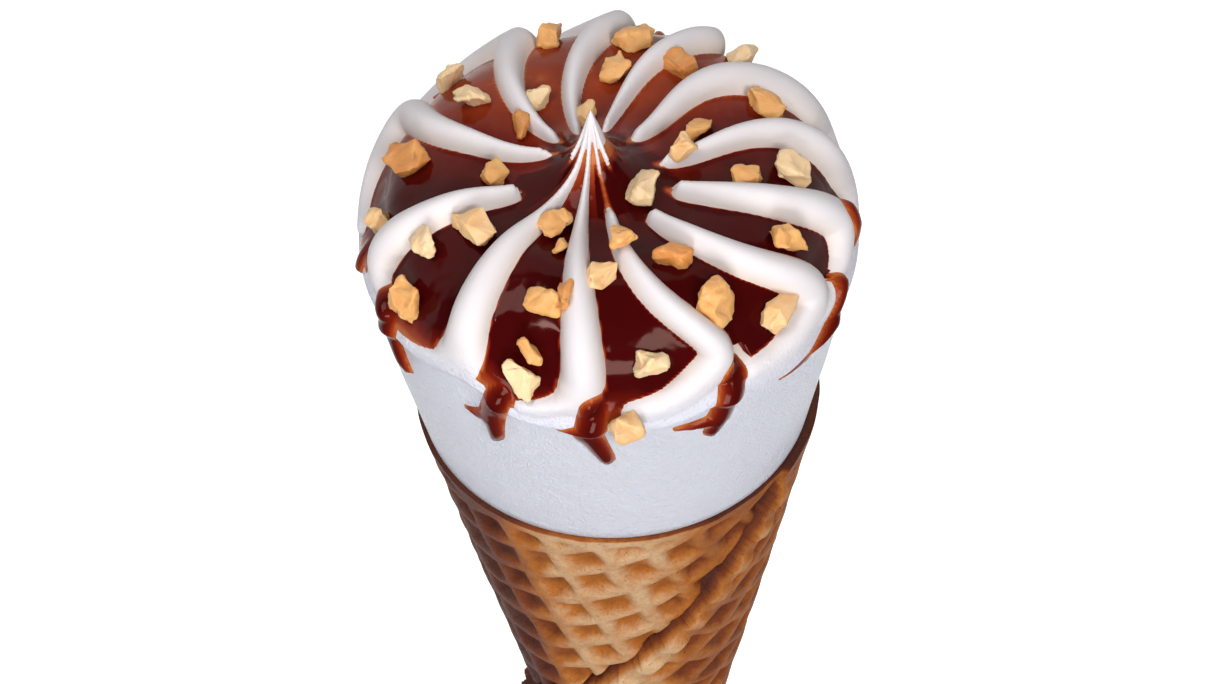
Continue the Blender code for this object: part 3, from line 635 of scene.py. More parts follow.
    def depths(self, turn: Array, azimuth: Array) -> tuple[Array, Array, Array]:
        """How far the bare ice cream and the sauce lie below the crest surface.

        Args:
            turn: places along the surface, from 0 at the peak to pi/2 at the band's edge.
            azimuth: degrees about the axis.

        Returns:
            Points on the crest surface, the depth of the ice cream, and the depth of the sauce.
        """
        points = self.crest(turn, azimuth)
        radius = self.radius_at(turn)
        share, sunk = self.nearest_ridge(points)
        above_edge = points[:, 2] - self.edge(azimuth)
        reach = smoothstep(above_edge, -0.4, self.shoulder_reach)
        shallow = np.exp(-((radius / self.sauce_depth_radius) ** self.sauce_depth_power))
        level = self.sauce_depth * (1.0 - shallow)
        section = 1.0 - np.sqrt(np.clip(1.0 - share**2, 0.0, 1.0))
        from_cleft = degrees_past(azimuth, self.cleft_azimuth) / self.cleft_breadth
        cleft = self.cleft_share * np.exp(-(from_cleft**2)) * smoothstep(radius, *self.cleft_start)
        peak = (1.0 - smoothstep(radius, *self.peak_bare)) * (1.0 - cleft)
        bare = level * self.floor_share * reach * section * (1.0 - 0.5 * peak) + sunk * level
        above_wall = above_edge - self.rim_wall(azimuth)
        inside = smoothstep(above_wall, -self.wall_fade, self.wall_fade)
        spill = self.drip_cover(azimuth, points[:, 2])
        sauce = np.minimum(level * reach + 2.0 * (1.0 - inside) + peak, bare - spill)
        return points, bare, sauce


def polar_sheet(rings: int, columns: int) -> bmesh.types.BMesh:
    """Make a flat sheet of triangles, one column for each step round and one row for each ring.

    Args:
        rings: number of rings; ring 0 becomes the peak.
        columns: steps round the axis.

    Returns:
        The sheet, whose rings and azimuths are then wrapped onto a form.
    """
    work = bmesh.new()
    bmesh.ops.create_grid(work, x_segments=columns, y_segments=rings, size=1.0)
    bmesh.ops.triangulate(work, faces=work.faces, quad_method="FIXED")
    stretch = Vector((180.0, rings / 2.0, 1.0))
    bmesh.ops.translate(work, vec=Vector((1.0, 1.0, 0.0)), verts=work.verts)
    bmesh.ops.scale(work, vec=stretch, verts=work.verts)
    return work


def rings_and_azimuths(work: bmesh.types.BMesh) -> tuple[Array, Array]:
    """Ring number and azimuth in degrees of each vertex of a flat sheet."""
    flat = np.array([vertex.co for vertex in work.verts])
    return np.rint(flat[:, 1]).astype(int), flat[:, 0]


def move_to(work: bmesh.types.BMesh, points: Array) -> None:
    """Put every vertex of a bmesh at its new place."""
    for vertex, point in zip(work.verts, points):
        vertex.co = point


def with_profile(
    points: Array, ring: Array, azimuth: Array, first: int, profile: list[tuple[float, float]]
) -> Array:
    """Put the last rings of a sheet on a spun profile.

    Args:
        points: places of all the vertices.
        ring: ring number of each.
        azimuth: azimuth of each in degrees.
        first: the ring that takes the profile's first pair.
        profile: radius and height of one ring after another.

    Returns:
        The places, with the last rings on the profile.
    """
    for step, (radius, z) in enumerate(profile):
        on_ring = (ring == first + step)[:, None]
        points = np.where(on_ring, about_axis(radius, azimuth, z), points)
    return points


def weld(work: bmesh.types.BMesh) -> None:
    """Join the sheet's two sides and its first ring, which now lie in one place."""
    bmesh.ops.remove_doubles(work, verts=work.verts, dist=1e-3)


def close_end(work: bmesh.types.BMesh) -> None:
    """Close the open last ring with one face and point all faces outwards.

    Args:
        work: the bmesh to change.
    """
    weld(work)
    open_edges = [edge for edge in work.edges if edge.is_boundary]
    bmesh.ops.contextual_create(work, geom=open_edges)
    bmesh.ops.recalc_face_normals(work, faces=work.faces)
    bmesh.ops.triangulate(work, faces=[face for face in work.faces if len(face.verts) > 4])


def new_piece(name: str, work: bmesh.types.BMesh) -> bpy.types.Object:
    """Make a smooth-shaded object of a bmesh that is in millimetres about the cone's axis.

    Args:
        name: the object's name.
        work: its mesh, which is freed.

    Returns:
        The object, linked to the scene.
    """
    for face in work.faces:
        face.smooth = True
    mesh = bpy.data.meshes.new(name)
    work.to_mesh(mesh)
    work.free()
    piece = bpy.data.objects.new(name, mesh)
    bpy.context.scene.collection.objects.link(piece)
    return piece


def paint(work: bmesh.types.BMesh, name: str, values: Array) -> None:
    """Keep one number for each vertex as an attribute that the material reads.

    Args:
        work: the bmesh to change.
        name: the attribute's name.
        values: one number for each vertex.
    """
    layer = work.verts.layers.float.new(name)
    for vertex, value in zip(work.verts, values):
        vertex[layer] = value


@dataclass(frozen=True)
class Signal:
    """A shader socket that carries a number; arithmetic on it adds Math nodes to its material."""

    shading: "Shading"
    socket: bpy.types.NodeSocket

    def __add__(self, other: "Number") -> "Signal":
        """Sum with a number or another signal."""
        return self.shading.math("ADD", self, other)

    def __sub__(self, other: "Number") -> "Signal":
        """Difference from this signal."""
        return self.shading.math("SUBTRACT", self, other)

    def __rsub__(self, other: "Number") -> "Signal":
        """Difference of a number and this signal."""
        return self.shading.math("SUBTRACT", other, self)

    def __mul__(self, other: "Number") -> "Signal":
        """Product with a number or another signal."""
        return self.shading.math("MULTIPLY", self, other)

    __radd__ = __add__
    __rmul__ = __mul__


Number = float | Signal
Feed = float | tuple | Signal | bpy.types.NodeSocket


class Shading:
    """The node tree of one finish, round its Principled shader."""

    MIX_FACTOR, MIX_A, MIX_B, MIX_RESULT = 0, 6, 7, 2

    def __init__(self, name: str) -> None:
        """Start a material with the shader that a new node tree holds."""
        self.material = bpy.data.materials.new(name)
        self.material.use_nodes = True
        self.tree = self.material.node_tree
        self.shader = self.tree.nodes["Principled BSDF"]
        self.place = self.node("ShaderNodeTexCoord").outputs["Object"]

    def feed(self, socket: bpy.types.NodeSocket, value: Feed) -> None:
        """Link a signal to a socket, or set its number or colour.

        Args:
            socket: the input to feed.
            value: what it holds.
        """
        if isinstance(value, Signal):
            value = value.socket
        if isinstance(value, bpy.types.NodeSocket):
            self.tree.links.new(value, socket)
        elif isinstance(value, tuple) and len(value) == 3 and socket.type == "RGBA":
            socket.default_value = (*value, 1.0)
        else:
            socket.default_value = value

    def node(
        self, kind: str, settings: dict | None = None, sockets: dict | None = None
    ) -> bpy.types.ShaderNode:
        """Add a node.

        Args:
            kind: the node's type.
            settings: its own settings, set first; "stops" gives a ramp's (position, colour) pairs.
            sockets: what its inputs hold, by name or number.

        Returns:
            The new node.
        """
        made = self.tree.nodes.new(kind)
        for name, value in (settings or {}).items():
            if name == "stops":
                self.set_stops(made.color_ramp, value)
            else:
                setattr(made, name, value)
        for name, value in (sockets or {}).items():
            self.feed(made.inputs[name], value)
        return made

    @staticmethod
    def set_stops(ramp: bpy.types.ColorRamp, stops: tuple) -> None:
        """Give a colour ramp its stops, as pairs of a position and a colour.

        Args:
            ramp: the ramp to set.
            stops: the pairs, in order.
        """
        while len(ramp.elements) < len(stops):
            ramp.elements.new(0.5)
        for element, (position, colour) in zip(ramp.elements, stops):
            element.position = position
            element.color = (*colour, 1.0)

    def math(self, operation: str, *values: Number) -> Signal:
        """Add a Math node."""
        made = self.node("ShaderNodeMath", {"operation": operation}, dict(enumerate(values)))
        return Signal(self, made.outputs[0])

    def attribute(self, name: str) -> Signal:
        """Read a number that the mesh keeps for each vertex."""
        made = self.node("ShaderNodeAttribute", {"attribute_name": name})
        return Signal(self, made.outputs["Fac"])

    def step(self, value: Signal, low: float, high: float) -> Signal:
        """Rise smoothly from 0 to 1 while the value goes from low to high."""
        settings = {"interpolation_type": "SMOOTHSTEP"}
        made = self.node("ShaderNodeMapRange", settings, {0: value, 1: low, 2: high})
        return Signal(self, made.outputs[0])

    def noise(self, size: float, detail: float = 2.0, roughness: float = 0.5) -> Signal:
        """Noise between 0 and 1 whose lumps have this size in millimetres."""
        sockets = {"Vector": self.place, "Scale": 1.0 / (size * MM)}
        sockets |= {"Detail": detail, "Roughness": roughness}
        return Signal(self, self.node("ShaderNodeTexNoise", None, sockets).outputs["Fac"])

    def cells(self, size: float) -> Signal:
        """Distance to the middle of the nearest cell, whose cells have this size in millimetres."""
        sockets = {"Vector": self.place, "Scale": 1.0 / (size * MM)}
        return Signal(self, self.node("ShaderNodeTexVoronoi", None, sockets).outputs["Distance"])

    def ramp(self, factor: Signal, stops: tuple) -> bpy.types.NodeSocket:
        """Colour by a ramp of (position, colour) stops."""
        return self.node("ShaderNodeValToRGB", {"stops": stops}, {0: factor}).outputs["Color"]

    def blend(self, factor: Number, first: Feed, second: Feed) -> bpy.types.NodeSocket:
        """Mix two colours, from the first at factor 0 to the second at 1."""
        sockets = {self.MIX_FACTOR: factor, self.MIX_A: first, self.MIX_B: second}
        return self.node("ShaderNodeMix", {"data_type": "RGBA"}, sockets).outputs[self.MIX_RESULT]

    def bump(self, height: Signal, depth: float) -> bpy.types.NodeSocket:
        """A normal that shows a height between 0 and 1 as relief of this depth in millimetres."""
        return self.node("ShaderNodeBump", None, {"Distance": depth * MM, "Height": height}).outputs[0]

    def finish(self, piece: bpy.types.Object, **values: Feed) -> None:
        """Set the shader's sockets and put the material on a piece.

        Args:
            piece: the object that gets the material.
            values: what each socket holds, its name written with underscores.
        """
        for name, value in values.items():
            socket = next(
                item for item in self.shader.inputs if item.name.lower().replace(" ", "_") == name
            )
            self.feed(socket, value)
        piece.data.materials.append(self.material)


@dataclass(frozen=True)
class FrozenIceCream:
    """Finish of the vanilla ice cream: cool white, faintly translucent, with frost on the band and painted
    shade on the ridges' flanks, warmed by painted light bounced from the sauce.
    """

    white: Colour = (0.72, 0.675, 0.69)
    cool: Colour = (0.85, 0.87, 1.0)
    # cream is the colour of painted shade on the ridges' flanks, warmed by painted light bounced from the
    # sauce.
    cream: Colour = (0.76, 0.65, 0.55)
    patch_size: float = 9.0
    grain_size: float = 0.4
    crystal_size: float = 1.5
    relief: float = 0.9
    glow_depth: float = 0.8

    def dress(self, piece: bpy.types.Object) -> None:
        """Put the finish on a piece that keeps a frost attribute and a mask for the painted shade on the
        ridges' flanks.

        Args:
            piece: the ice cream.
        """
        shading = Shading("frozen ice cream")
        frost = shading.attribute("frost")
        # Painted shade: deeper down the ridges' flanks the white turns, in noisy patches, towards the warm
        # shade colour.
        painted_flank_shade = shading.attribute("flank") * (shading.noise(self.patch_size) * 0.7 + 0.25)
        colour = shading.blend(frost, self.white, self.cool)
        colour = shading.blend(painted_flank_shade, colour, self.cream)
        grain = shading.noise(self.grain_size, 4.0, 0.7)
        crystals = shading.noise(self.crystal_size, 2.0, 0.6)
        height = grain * (frost * 0.7 + 0.04) + crystals * frost * 0.5
        shading.finish(
            piece,
            base_color=colour,
            roughness=0.5 - frost * 0.18,
            ior=1.31,
            subsurface_weight=0.25,
            subsurface_radius=(1.0, 0.85, 0.7),
            subsurface_scale=self.glow_depth * MM,
            normal=shading.bump(height, self.relief),
        )


@dataclass(frozen=True)
class ChocolateSauce:
    """Finish of the glossy sauce: orange-brown where it is thin, deep maroon where it pools."""

    film: Colour = (0.46, 0.13, 0.03)
    thin: Colour = (0.27, 0.038, 0.01)
    coat: Colour = (0.14, 0.008, 0.003)
    pool: Colour = (0.045, 0.001, 0.0014)
    gleam: tuple[float, float, float, float] = (1.0, 0.6, 0.52, 1.0)
    cloud_size: float = 3.2
    ripple_size: float = 2.6
    sheen_size: float = 5.0
    relief: float = 0.12

    def dress(self, piece: bpy.types.Object) -> None:
        """Put the finish on a piece that keeps its thickness in millimetres, lowered towards the back as
        painted light.

        Args:
            piece: the sauce.
        """
        shading = Shading("chocolate sauce")
        cloud = shading.noise(self.cloud_size) * 0.4 - 0.2
        depth = shading.attribute("thickness") + cloud
        stops = ((0.0, self.film), (0.12, self.thin), (0.38, self.coat), (0.8, self.pool))
        colour = shading.ramp(depth * 0.7, stops)
        ripple = shading.noise(self.ripple_size, 1.0)
        shading.finish(
            piece,
            base_color=colour,
            roughness=0.07 + shading.noise(self.sheen_size) * 0.05,
            ior=1.42,
            specular_ior_level=0.17,
            specular_tint=self.gleam,
            normal=shading.bump(ripple, self.relief),
        )


@dataclass(frozen=True)
class ToastedNut:
    """Finish of the chopped nuts, from blanched cream to roasted tan."""

    pale: Colour = (0.87, 0.62, 0.36)
    gold: Colour = (0.8, 0.42, 0.14)
    tan: Colour = (0.64, 0.25, 0.06)
    roast_size: float = 1.6
    grain_size: float = 0.35
    relief: float = 0.07
    glow_depth: float = 1.2

    def dress(self, piece: bpy.types.Object) -> None:
        """Put the finish on a piece that keeps the tone of each nut.

        Args:
            piece: the nuts.
        """
        shading = Shading("toasted nut")
        roast = shading.attribute("tone") + (shading.noise(self.roast_size, 3.0) - 0.5) * 0.7
        stops = ((0.1, self.pale), (0.6, self.gold), (1.0, self.tan))
        colour = shading.ramp(roast, stops)
        grain = shading.noise(self.grain_size, 3.0, 0.6)
        shading.finish(
            piece,
            base_color=colour,
            roughness=0.42 + grain * 0.15,
            ior=1.45,
            subsurface_weight=0.4,
            subsurface_radius=(1.0, 0.6, 0.3),
            subsurface_scale=self.glow_depth * MM,
            normal=shading.bump(grain, self.relief),
        )


@dataclass(frozen=True)
class BakedWafer:
    """Finish of the rolled wafer: toasted in patches and more on its right side, with fine pores, painted
    shade in the pits, on its sides and in the crack of the overlap, and painted light on its knobs.
    """

    light: Colour = (0.62, 0.39, 0.21)
    toast: Colour = (0.42, 0.135, 0.018)
    brown: Colour = (0.18, 0.036, 0.004)
    dark: Colour = (0.07, 0.012, 0.003)
    patch_size: float = 6.0
    spot_size: float = 1.4
    freckle_size: float = 0.45
    pore_size: float = 0.6
    crumb_size: float = 0.4
    relief: float = 0.34

    def dress(self, piece: bpy.types.Object) -> None:
        """Put the finish on a piece that keeps how deep in a pit each place lies, and how much darker each
        place is painted.

        Args:
            piece: the wafer.
        """
        shading = Shading("baked wafer")
        hollow = shading.attribute("hollow")
        patches = shading.noise(self.patch_size, 3.0, 0.6)
        spots = shading.noise(self.spot_size, 2.0, 0.6)
        # Painted shade: the pits are painted darker by their depth, and the darkness kept on the mesh adds
        # the painted shade and light of the sides, crack and knobs to the real toasting of patches and
        # spots.
        roast = patches * 0.5 + spots * 0.25 + hollow * 0.3 + shading.attribute("roast") * 0.48 - 0.19
        stops = ((0.12, self.light), (0.42, self.toast), (0.7, self.brown), (1.0, self.dark))
        colour = shading.ramp(roast, stops)
        freckle = shading.step(shading.noise(self.freckle_size, 3.0, 0.7), 0.55, 0.7)
        colour = shading.blend(freckle * 0.4, colour, self.brown)
        pores = shading.step(shading.cells(self.pore_size), 0.05, 0.3)
        crumb = shading.noise(self.crumb_size, 4.0, 0.65)
        height = crumb * 0.7 + pores * 0.3
        shading.finish(
            piece,
            base_color=colour,
            roughness=0.5 + crumb * 0.25,
            ior=1.45,
            specular_ior_level=0.3,
            normal=shading.bump(height, self.relief),
        )


@dataclass
class PipedHead:
    """The ice cream: the piped rosette, the smooth band, and the plug inside the wafer."""

    form: HeadForm = field(default_factory=HeadForm)
    wafer: WaferForm = field(default_factory=WaferForm)
    rings: int = 180
    band_rings: int = 36
    band_crowding: float = 1.4
    columns: int = 420
    unevenness: float = 0.1
    unevenness_size: float = 5.0
    frost_reach: float = 5.0

    def sample(self, ring: Array, azimuth: Array) -> dict[str, Array]:
        """Work out the layers of the head at whole ring numbers and azimuths.

        Args:
            ring: ring number, from 0 at the peak through the rosette and down the band.
            azimuth: degrees about the axis.

        Returns:
            The base points and normals, the depth of the bare ice cream and of the sauce below
            them, and the height over the band's edge.
        """
        form = self.form
        turn = form.even_turns(self.rings)[np.minimum(ring, self.rings - 1)]
        points, bare, sauce = form.depths(turn, azimuth)
        bare = np.where(ring == 0, 0.0, bare)
        normals = form.normals(turn, azimuth)
        edge = form.edge(azimuth)
        down = np.clip((ring - (self.rings - 1)) / self.band_rings, 0.0, 1.0) ** self.band_crowding
        z = edge + (form.fit_gap - edge) * down
        lip = form.lobe_radius - form.band_radius(edge)
        radius = form.band_radius(z) + lip * (1.0 - smoothstep(edge - z, 0.0, form.lip_height))
        band = form.on_plan(radius, azimuth, z)
        outward = about_axis(1.0, azimuth, 0.0)
        cover = form.drip_cover(azimuth, z)
        on_band = ring >= self.rings
        across = on_band[:, None]
        return {
            "points": np.where(across, band, points),
            "normals": np.where(across, outward, normals),
            "bare": np.where(on_band, 0.0, bare),
            "sauce": np.where(on_band, -cover, sauce),
            "over_edge": np.where(on_band, z - edge, points[:, 2] - edge),
        }

    def place(self, layers: dict[str, Array], depth: Array) -> Array:
        """Points at a depth below the base, with the hand-piped unevenness of the whole head.

        Args:
            layers: what sample gives.
            depth: how far below the base each place lies.

        Returns:
            One point for each place.
        """
        base = layers["points"]
        fade = smoothstep(base[:, 2], 1.0, 8.0)
        wave = self.unevenness * fade * bumps(base, self.unevenness_size, 3.0)
        return base - layers["normals"] * (depth - wave)[:, None]

    def build(self) -> bpy.types.Object:
        """Spin, wrap and close the ice cream, with its frost and its mask of painted flank shade kept for
        the finish.

        Returns:
            The dressed piece.
        """
        plug = self.wafer.cavity(self.form.fit_gap)
        shell = self.rings + self.band_rings
        work = polar_sheet(shell - 1 + len(plug), self.columns)
        ring, azimuth = rings_and_azimuths(work)
        layers = self.sample(np.minimum(ring, shell - 1), azimuth)
        points = self.place(layers, layers["bare"])
        move_to(work, with_profile(points, ring, azimuth, shell, plug))
        paint(work, "frost", 1.0 - smoothstep(layers["over_edge"], -2.0, self.frost_reach))
        # Mask for painted shade: 0 on the crests, rising to 1 deep down the flanks towards the sauce.
        paint(work, "flank", smoothstep(layers["bare"], 0.3, 2.4))
        close_end(work)
        piece = new_piece("soft_ice_cream", work)
        FrozenIceCream().dress(piece)
        return piece


@dataclass
class SauceCoat:
    """The chocolate sauce in the valleys and in runs down the side."""

    head: PipedHead
    band_rings: int = 30
    # How far the kept thickness, and so the darkness of the colour, is lowered towards the back: painted
    # light, as the sauce there is no thinner.
    back_painted_light: float = 0.88
    kept_depth: float = 0.5
    thickness: float = 0.7
    ripple: float = 0.14
    ripple_size: float = 4.5
    back_reach: tuple[float, float] = (-14.0, 16.0)

    def build(self) -> bpy.types.Object:
        """Wrap a sheet on the head, keep the part that shows, and give it a thickness.

        Returns:
            The dressed piece.
        """
        head = self.head
        work = polar_sheet(head.rings + self.band_rings - 1, head.columns)
        ring, azimuth = rings_and_azimuths(work)
        layers = head.sample(ring, azimuth)
        bare = layers["bare"]
        lumps = self.ripple * bumps(layers["points"], self.ripple_size, 11.0)
        thick = bare - layers["sauce"]
        thick = thick + lumps * smoothstep(thick, 0.0, 0.8)
        hidden = -thick
        back = smoothstep(layers["points"][:, 1], *self.back_reach)
        move_to(work, head.place(layers, bare + hidden))
        shown = thick * smoothstep(thick, -0.1, 0.9)
        # Painted light: towards the back the sauce is coloured as if thinner, so lighter, though it is as
        # thick there.
        paint(work, "thickness", shown * (1.0 - self.back_painted_light * back))
        under = [face for face in work.faces if min(hidden[v.index] for v in face.verts) > self.kept_depth]
        bmesh.ops.delete(work, geom=under, context="FACES")
        weld(work)
        self.face_outwards(work)
        piece = new_piece("chocolate_sauce", work)
        wall = piece.modifiers.new("thickness", "SOLIDIFY")
        wall.thickness = self.thickness * MM
        wall.offset = -1.0
        ChocolateSauce().dress(piece)
        return piece

    @staticmethod
    def face_outwards(work: bmesh.types.BMesh) -> None:
        """Turn the sheet's faces away from the cone's axis.

        Args:
            work: the bmesh to change.
        """
        work.normal_update()
        outwards = sum(face.normal.dot(face.calc_center_median()) for face in work.faces)
        if outwards < 0.0:
            bmesh.ops.reverse_faces(work, faces=work.faces)


@dataclass
class ChoppedNuts:
    """The chopped nuts, each the hull of seeded points, worn at its edges."""

    head: PipedHead
    points: int = 14
    seed: int = 7
    sink: float = 0.16
    edge_round: float = 0.2
    roughness: float = 0.5
    facets: float = 0.6
    chips: tuple[tuple[float, float], ...] = ((0.45, 1.7), (0.12, 5.0))
    boxiness: float = 0.35
    reach: float = 1.15

    def chunk(self, nut: Nut, draw: random.Random) -> bmesh.types.BMesh:
        """One chopped nut about the origin, with rounded edges and a broken surface.

        Args:
            nut: its sizes.
            draw: the seeded source of its corners.

        Returns:
            Its mesh, in millimetres.
        """
        work = bmesh.new()
        for _ in range(self.points):
            direction = Vector((draw.uniform(-1, 1), draw.uniform(-1, 1), draw.uniform(-1, 1)))
            block = direction / max(abs(value) for value in direction)
            point = block.lerp(direction.normalized() * self.reach, self.boxiness)
            size = (nut.length / 2, nut.width / 2, nut.thickness / 2)
            work.verts.new([value * half for value, half in zip(point, size)])
        hull = bmesh.ops.convex_hull(work, input=work.verts)
        unused = [item for item in hull["geom_interior"] if isinstance(item, bmesh.types.BMVert)]
        bmesh.ops.delete(work, geom=unused, context="VERTS")
        bmesh.ops.bevel(
            work,
            geom=list(work.edges),
            offset=self.edge_round,
            affect="EDGES",
            segments=2,
            profile=0.5,
            material=-1,
            clamp_overlap=True,
        )
        bmesh.ops.triangulate(work, faces=work.faces)
        bmesh.ops.subdivide_edges(work, edges=work.edges, cuts=2, use_grid_fill=True)
        bmesh.ops.smooth_vert(
            work, verts=work.verts, factor=0.5, use_axis_x=True, use_axis_y=True, use_axis_z=True
        )
        work.normal_update()
        shift = Vector((nut.radius, nut.azimuth, 0.0))
        for vertex in work.verts:
            lump = noise.noise(vertex.co * self.facets + shift.yxz)
            for share, fineness in self.chips:
                lump += share * noise.noise(vertex.co * fineness + shift)
            vertex.co += vertex.normal * lump * self.roughness
        return work

    def seat(self, nut: Nut) -> Matrix:
        """Where a nut sits on the head, as a matrix with its z axis out of the surface.

        Args:
            nut: the nut to seat.

        Returns:
            The matrix from the nut to the cone.
        """
        form = self.head.form
        turn = form.turn_at(np.array([nut.radius]))
        azimuth = np.array([float(nut.azimuth)])
        points, bare, sauce = form.depths(turn, azimuth)
        normal = form.normals(turn, azimuth)[0]
        depth = smooth_least(bare, sauce, form.fillet)[0]
        middle = points[0] + normal * (nut.thickness * (0.5 - self.sink) - depth)
        up = Vector(normal)
        side = Vector((1.0, 0.0, 0.0)).cross(up).normalized().cross(up) * -1.0
        side = (Matrix.Rotation(math.radians(nut.turn), 3, up) @ side).normalized()
        basis = Matrix((side, up.cross(side), up)).transposed().to_4x4()
        return Matrix.Translation(Vector(middle)) @ basis

    def build(self) -> bpy.types.Object:
        """Seat every nut and join them in one mesh that keeps their tones.

        Returns:
            The dressed piece.
        """
        draw = random.Random(self.seed)
        work = bmesh.new()
        for nut in NUTS:
            chunk = self.chunk(nut, draw)
            bmesh.ops.transform(chunk, matrix=self.seat(nut), verts=chunk.verts)
            paint(chunk, "tone", np.full(len(chunk.verts), nut.tone.value))
            mesh = bpy.data.meshes.new("chunk")
            chunk.to_mesh(mesh)
            chunk.free()
            work.from_mesh(mesh)
            bpy.data.meshes.remove(mesh)
        bmesh.ops.recalc_face_normals(work, faces=work.faces)
        piece = new_piece("chopped_nuts", work)
        ToastedNut().dress(piece)
        return piece


@dataclass
class RolledWafer:
    """The rolled wafer: one closed shell with its pressed face, its rim and its hollow."""

    form: WaferForm = field(default_factory=WaferForm)
    columns: int = 320
    face_rings: int = 270
    tip_rings: int = 6
    wobble_size: float = 3.0
    least_radius: float = 0.05
    tip_bluntness: float = 0.6
    # Painted shade: none at the lit azimuth, growing to the left, where the wafer is painted dark as
    # shade, and to the right, where it is partly real toasting and partly painted shade; the back gets
    # half.
    lit_azimuth: float = 262.0
    left_roast: float = 1.55
    left_reach: tuple[float, float] = (10.0, 46.0)
    right_roast: float = 0.75
    right_reach: tuple[float, float] = (12.0, 40.0)
    back_reach: tuple[float, float] = (90.0, 150.0)
    # How much darker the rim face and the hollow inside are painted.
    rim_roast: float = 0.9
    # Painted shade in the crack of the overlap, and painted light on the raised knobs beside it.
    crack_roast: float = 1.5
    knob_roast: float = 0.6

    def outer(self, ring: Array, azimuth: Array) -> tuple[Array, Array, Array]:
        """Points of the outer face at whole ring numbers, and how deep in a pit or crack they lie.

        Args:
            ring: ring number, from 0 at the tip to the rim.
            azimuth: degrees about the axis.

        Returns:
            The points, and the two depths at each.
        """
        form = self.form
        share = np.clip((ring - self.tip_rings) / (self.face_rings - self.tip_rings), 0.0, 1.0)
        slant = form.tip_slant + (form.rim_slant - form.tip_slant) * share
        relief, hollow, crack = form.relief(slant, azimuth)
        plain = 1.0 - form.rest_share(slant, azimuth)
        z = slant * math.cos(form.half_angle) - form.rim_radius / math.tan(form.half_angle)
        radius = slant * math.sin(form.half_angle)
        uneven = form.wobble * bumps(about_axis(radius, azimuth, z), self.wobble_size, 5.0)
        relief = (relief + uneven) * plain
        radius = np.maximum(radius + relief / math.cos(form.half_angle), self.least_radius)
        cap = np.clip(ring / self.tip_rings, 0.0, 1.0) * math.pi / 2
        in_cap = ring < self.tip_rings
        radius = radius * np.where(in_cap, np.sin(cap), 1.0)
        z = z - np.where(in_cap, np.cos(cap) * form.tip_rounding * self.tip_bluntness, 0.0)
        return about_axis(radius, azimuth, z), hollow * plain, crack * plain

    def build(self) -> bpy.types.Object:
        """Spin, wrap and close the wafer.

        Returns:
            The dressed piece.
        """
        hollow_profile = self.form.cavity(0.0)
        work = polar_sheet(self.face_rings + len(hollow_profile), self.columns)
        ring, azimuth = rings_and_azimuths(work)
        points, pits, crack = self.outer(np.minimum(ring, self.face_rings), azimuth)
        move_to(work, with_profile(points, ring, azimuth, self.face_rings + 1, hollow_profile))
        # Pit depth, kept for the painted shade in the pits; the hollow inside gets a little of it.
        paint(work, "hollow", np.where(ring > self.face_rings, 0.3, pits))
        # Painted shade: darker to the left of the lit middle, partly toasting and partly painted shade to
        # the right, halved at the back.
        side = degrees_past(azimuth, self.lit_azimuth)
        roast = self.left_roast * smoothstep(-side, *self.left_reach)
        roast = roast + self.right_roast * smoothstep(side, *self.right_reach)
        roast = roast * (1.0 - smoothstep(np.abs(side), *self.back_reach) * 0.5)
        # The rim face and the hollow inside are painted darker.
        roast = roast + self.rim_roast * (ring >= self.face_rings)
        # Painted shade in the crack of the overlap; on the knobs, where the mask is below 0, painted
        # light.
        roast = roast + np.where(crack > 0.0, self.crack_roast, self.knob_roast) * crack
        paint(work, "roast", roast)
        close_end(work)
        piece = new_piece("wafer_shell", work)
        BakedWafer().dress(piece)
        return piece


@dataclass
class LyingPose:
    """The turn that lays the cone on its flat, and the shift over the middle of the model's box."""

    form: WaferForm = field(default_factory=WaferForm)

    def matrix(self, pieces: list[bpy.types.Object]) -> Matrix:
        """Matrix from millimetres about the cone's axis to metres in the model's frame.

        Args:
            pieces: the pieces, still about the cone's axis.

        Returns:
            The matrix that puts their common box in the middle of the model's box.
        """
        sine, cosine = math.sin(self.form.half_angle), math.cos(self.form.half_angle)
        turned = Matrix(((-1.0, 0.0, 0.0), (0.0, -sine, -cosine), (0.0, -cosine, sine)))
        turned = turned.to_4x4() @ Matrix.Scale(MM, 4)
        places = np.concatenate([self.places(piece) for piece in pieces])
        places = places @ np.array(turned.to_3x3()).T
        low, high = places.min(axis=0), places.max(axis=0)
        middle = [(CAD_BOX[0][axis] + CAD_BOX[1][axis]) / 2 for axis in range(2)]
        shift = Vector((middle[0] - (low[0] + high[0]) / 2, middle[1] - (low[1] + high[1]) / 2, 0.0))
        shift.z = (self.form.rim_radius * cosine - self.form.rest_cut) * MM
        return Matrix.Translation(shift) @ turned

    @staticmethod
    def places(piece: bpy.types.Object) -> Array:
        """All the vertex places of a piece.

        Args:
            piece: the piece to read.

        Returns:
            One row for each vertex.
        """
        flat = np.empty(len(piece.data.vertices) * 3, np.float32)
        piece.data.vertices.foreach_get("co", flat)
        return flat.reshape(-1, 3)

    def lay(self, piece: bpy.types.Object, matrix: Matrix) -> None:
        """Move a piece's mesh to its place and press flat what would go below the floor.

        Args:
            piece: the piece to lay down.
            matrix: what matrix gives.
        """
        piece.data.transform(matrix)
        places = self.places(piece)
        places[:, 2] = np.maximum(places[:, 2], 0.0)
        piece.data.vertices.foreach_set("co", places.ravel())
        piece.data.update()


@dataclass(frozen=True)
class Softbox:
    """A studio light: its direction as seen by the camera, distance and side in metres, and watts."""

    name: str
    direction: Colour
    distance: float
    side: float
    watts: float


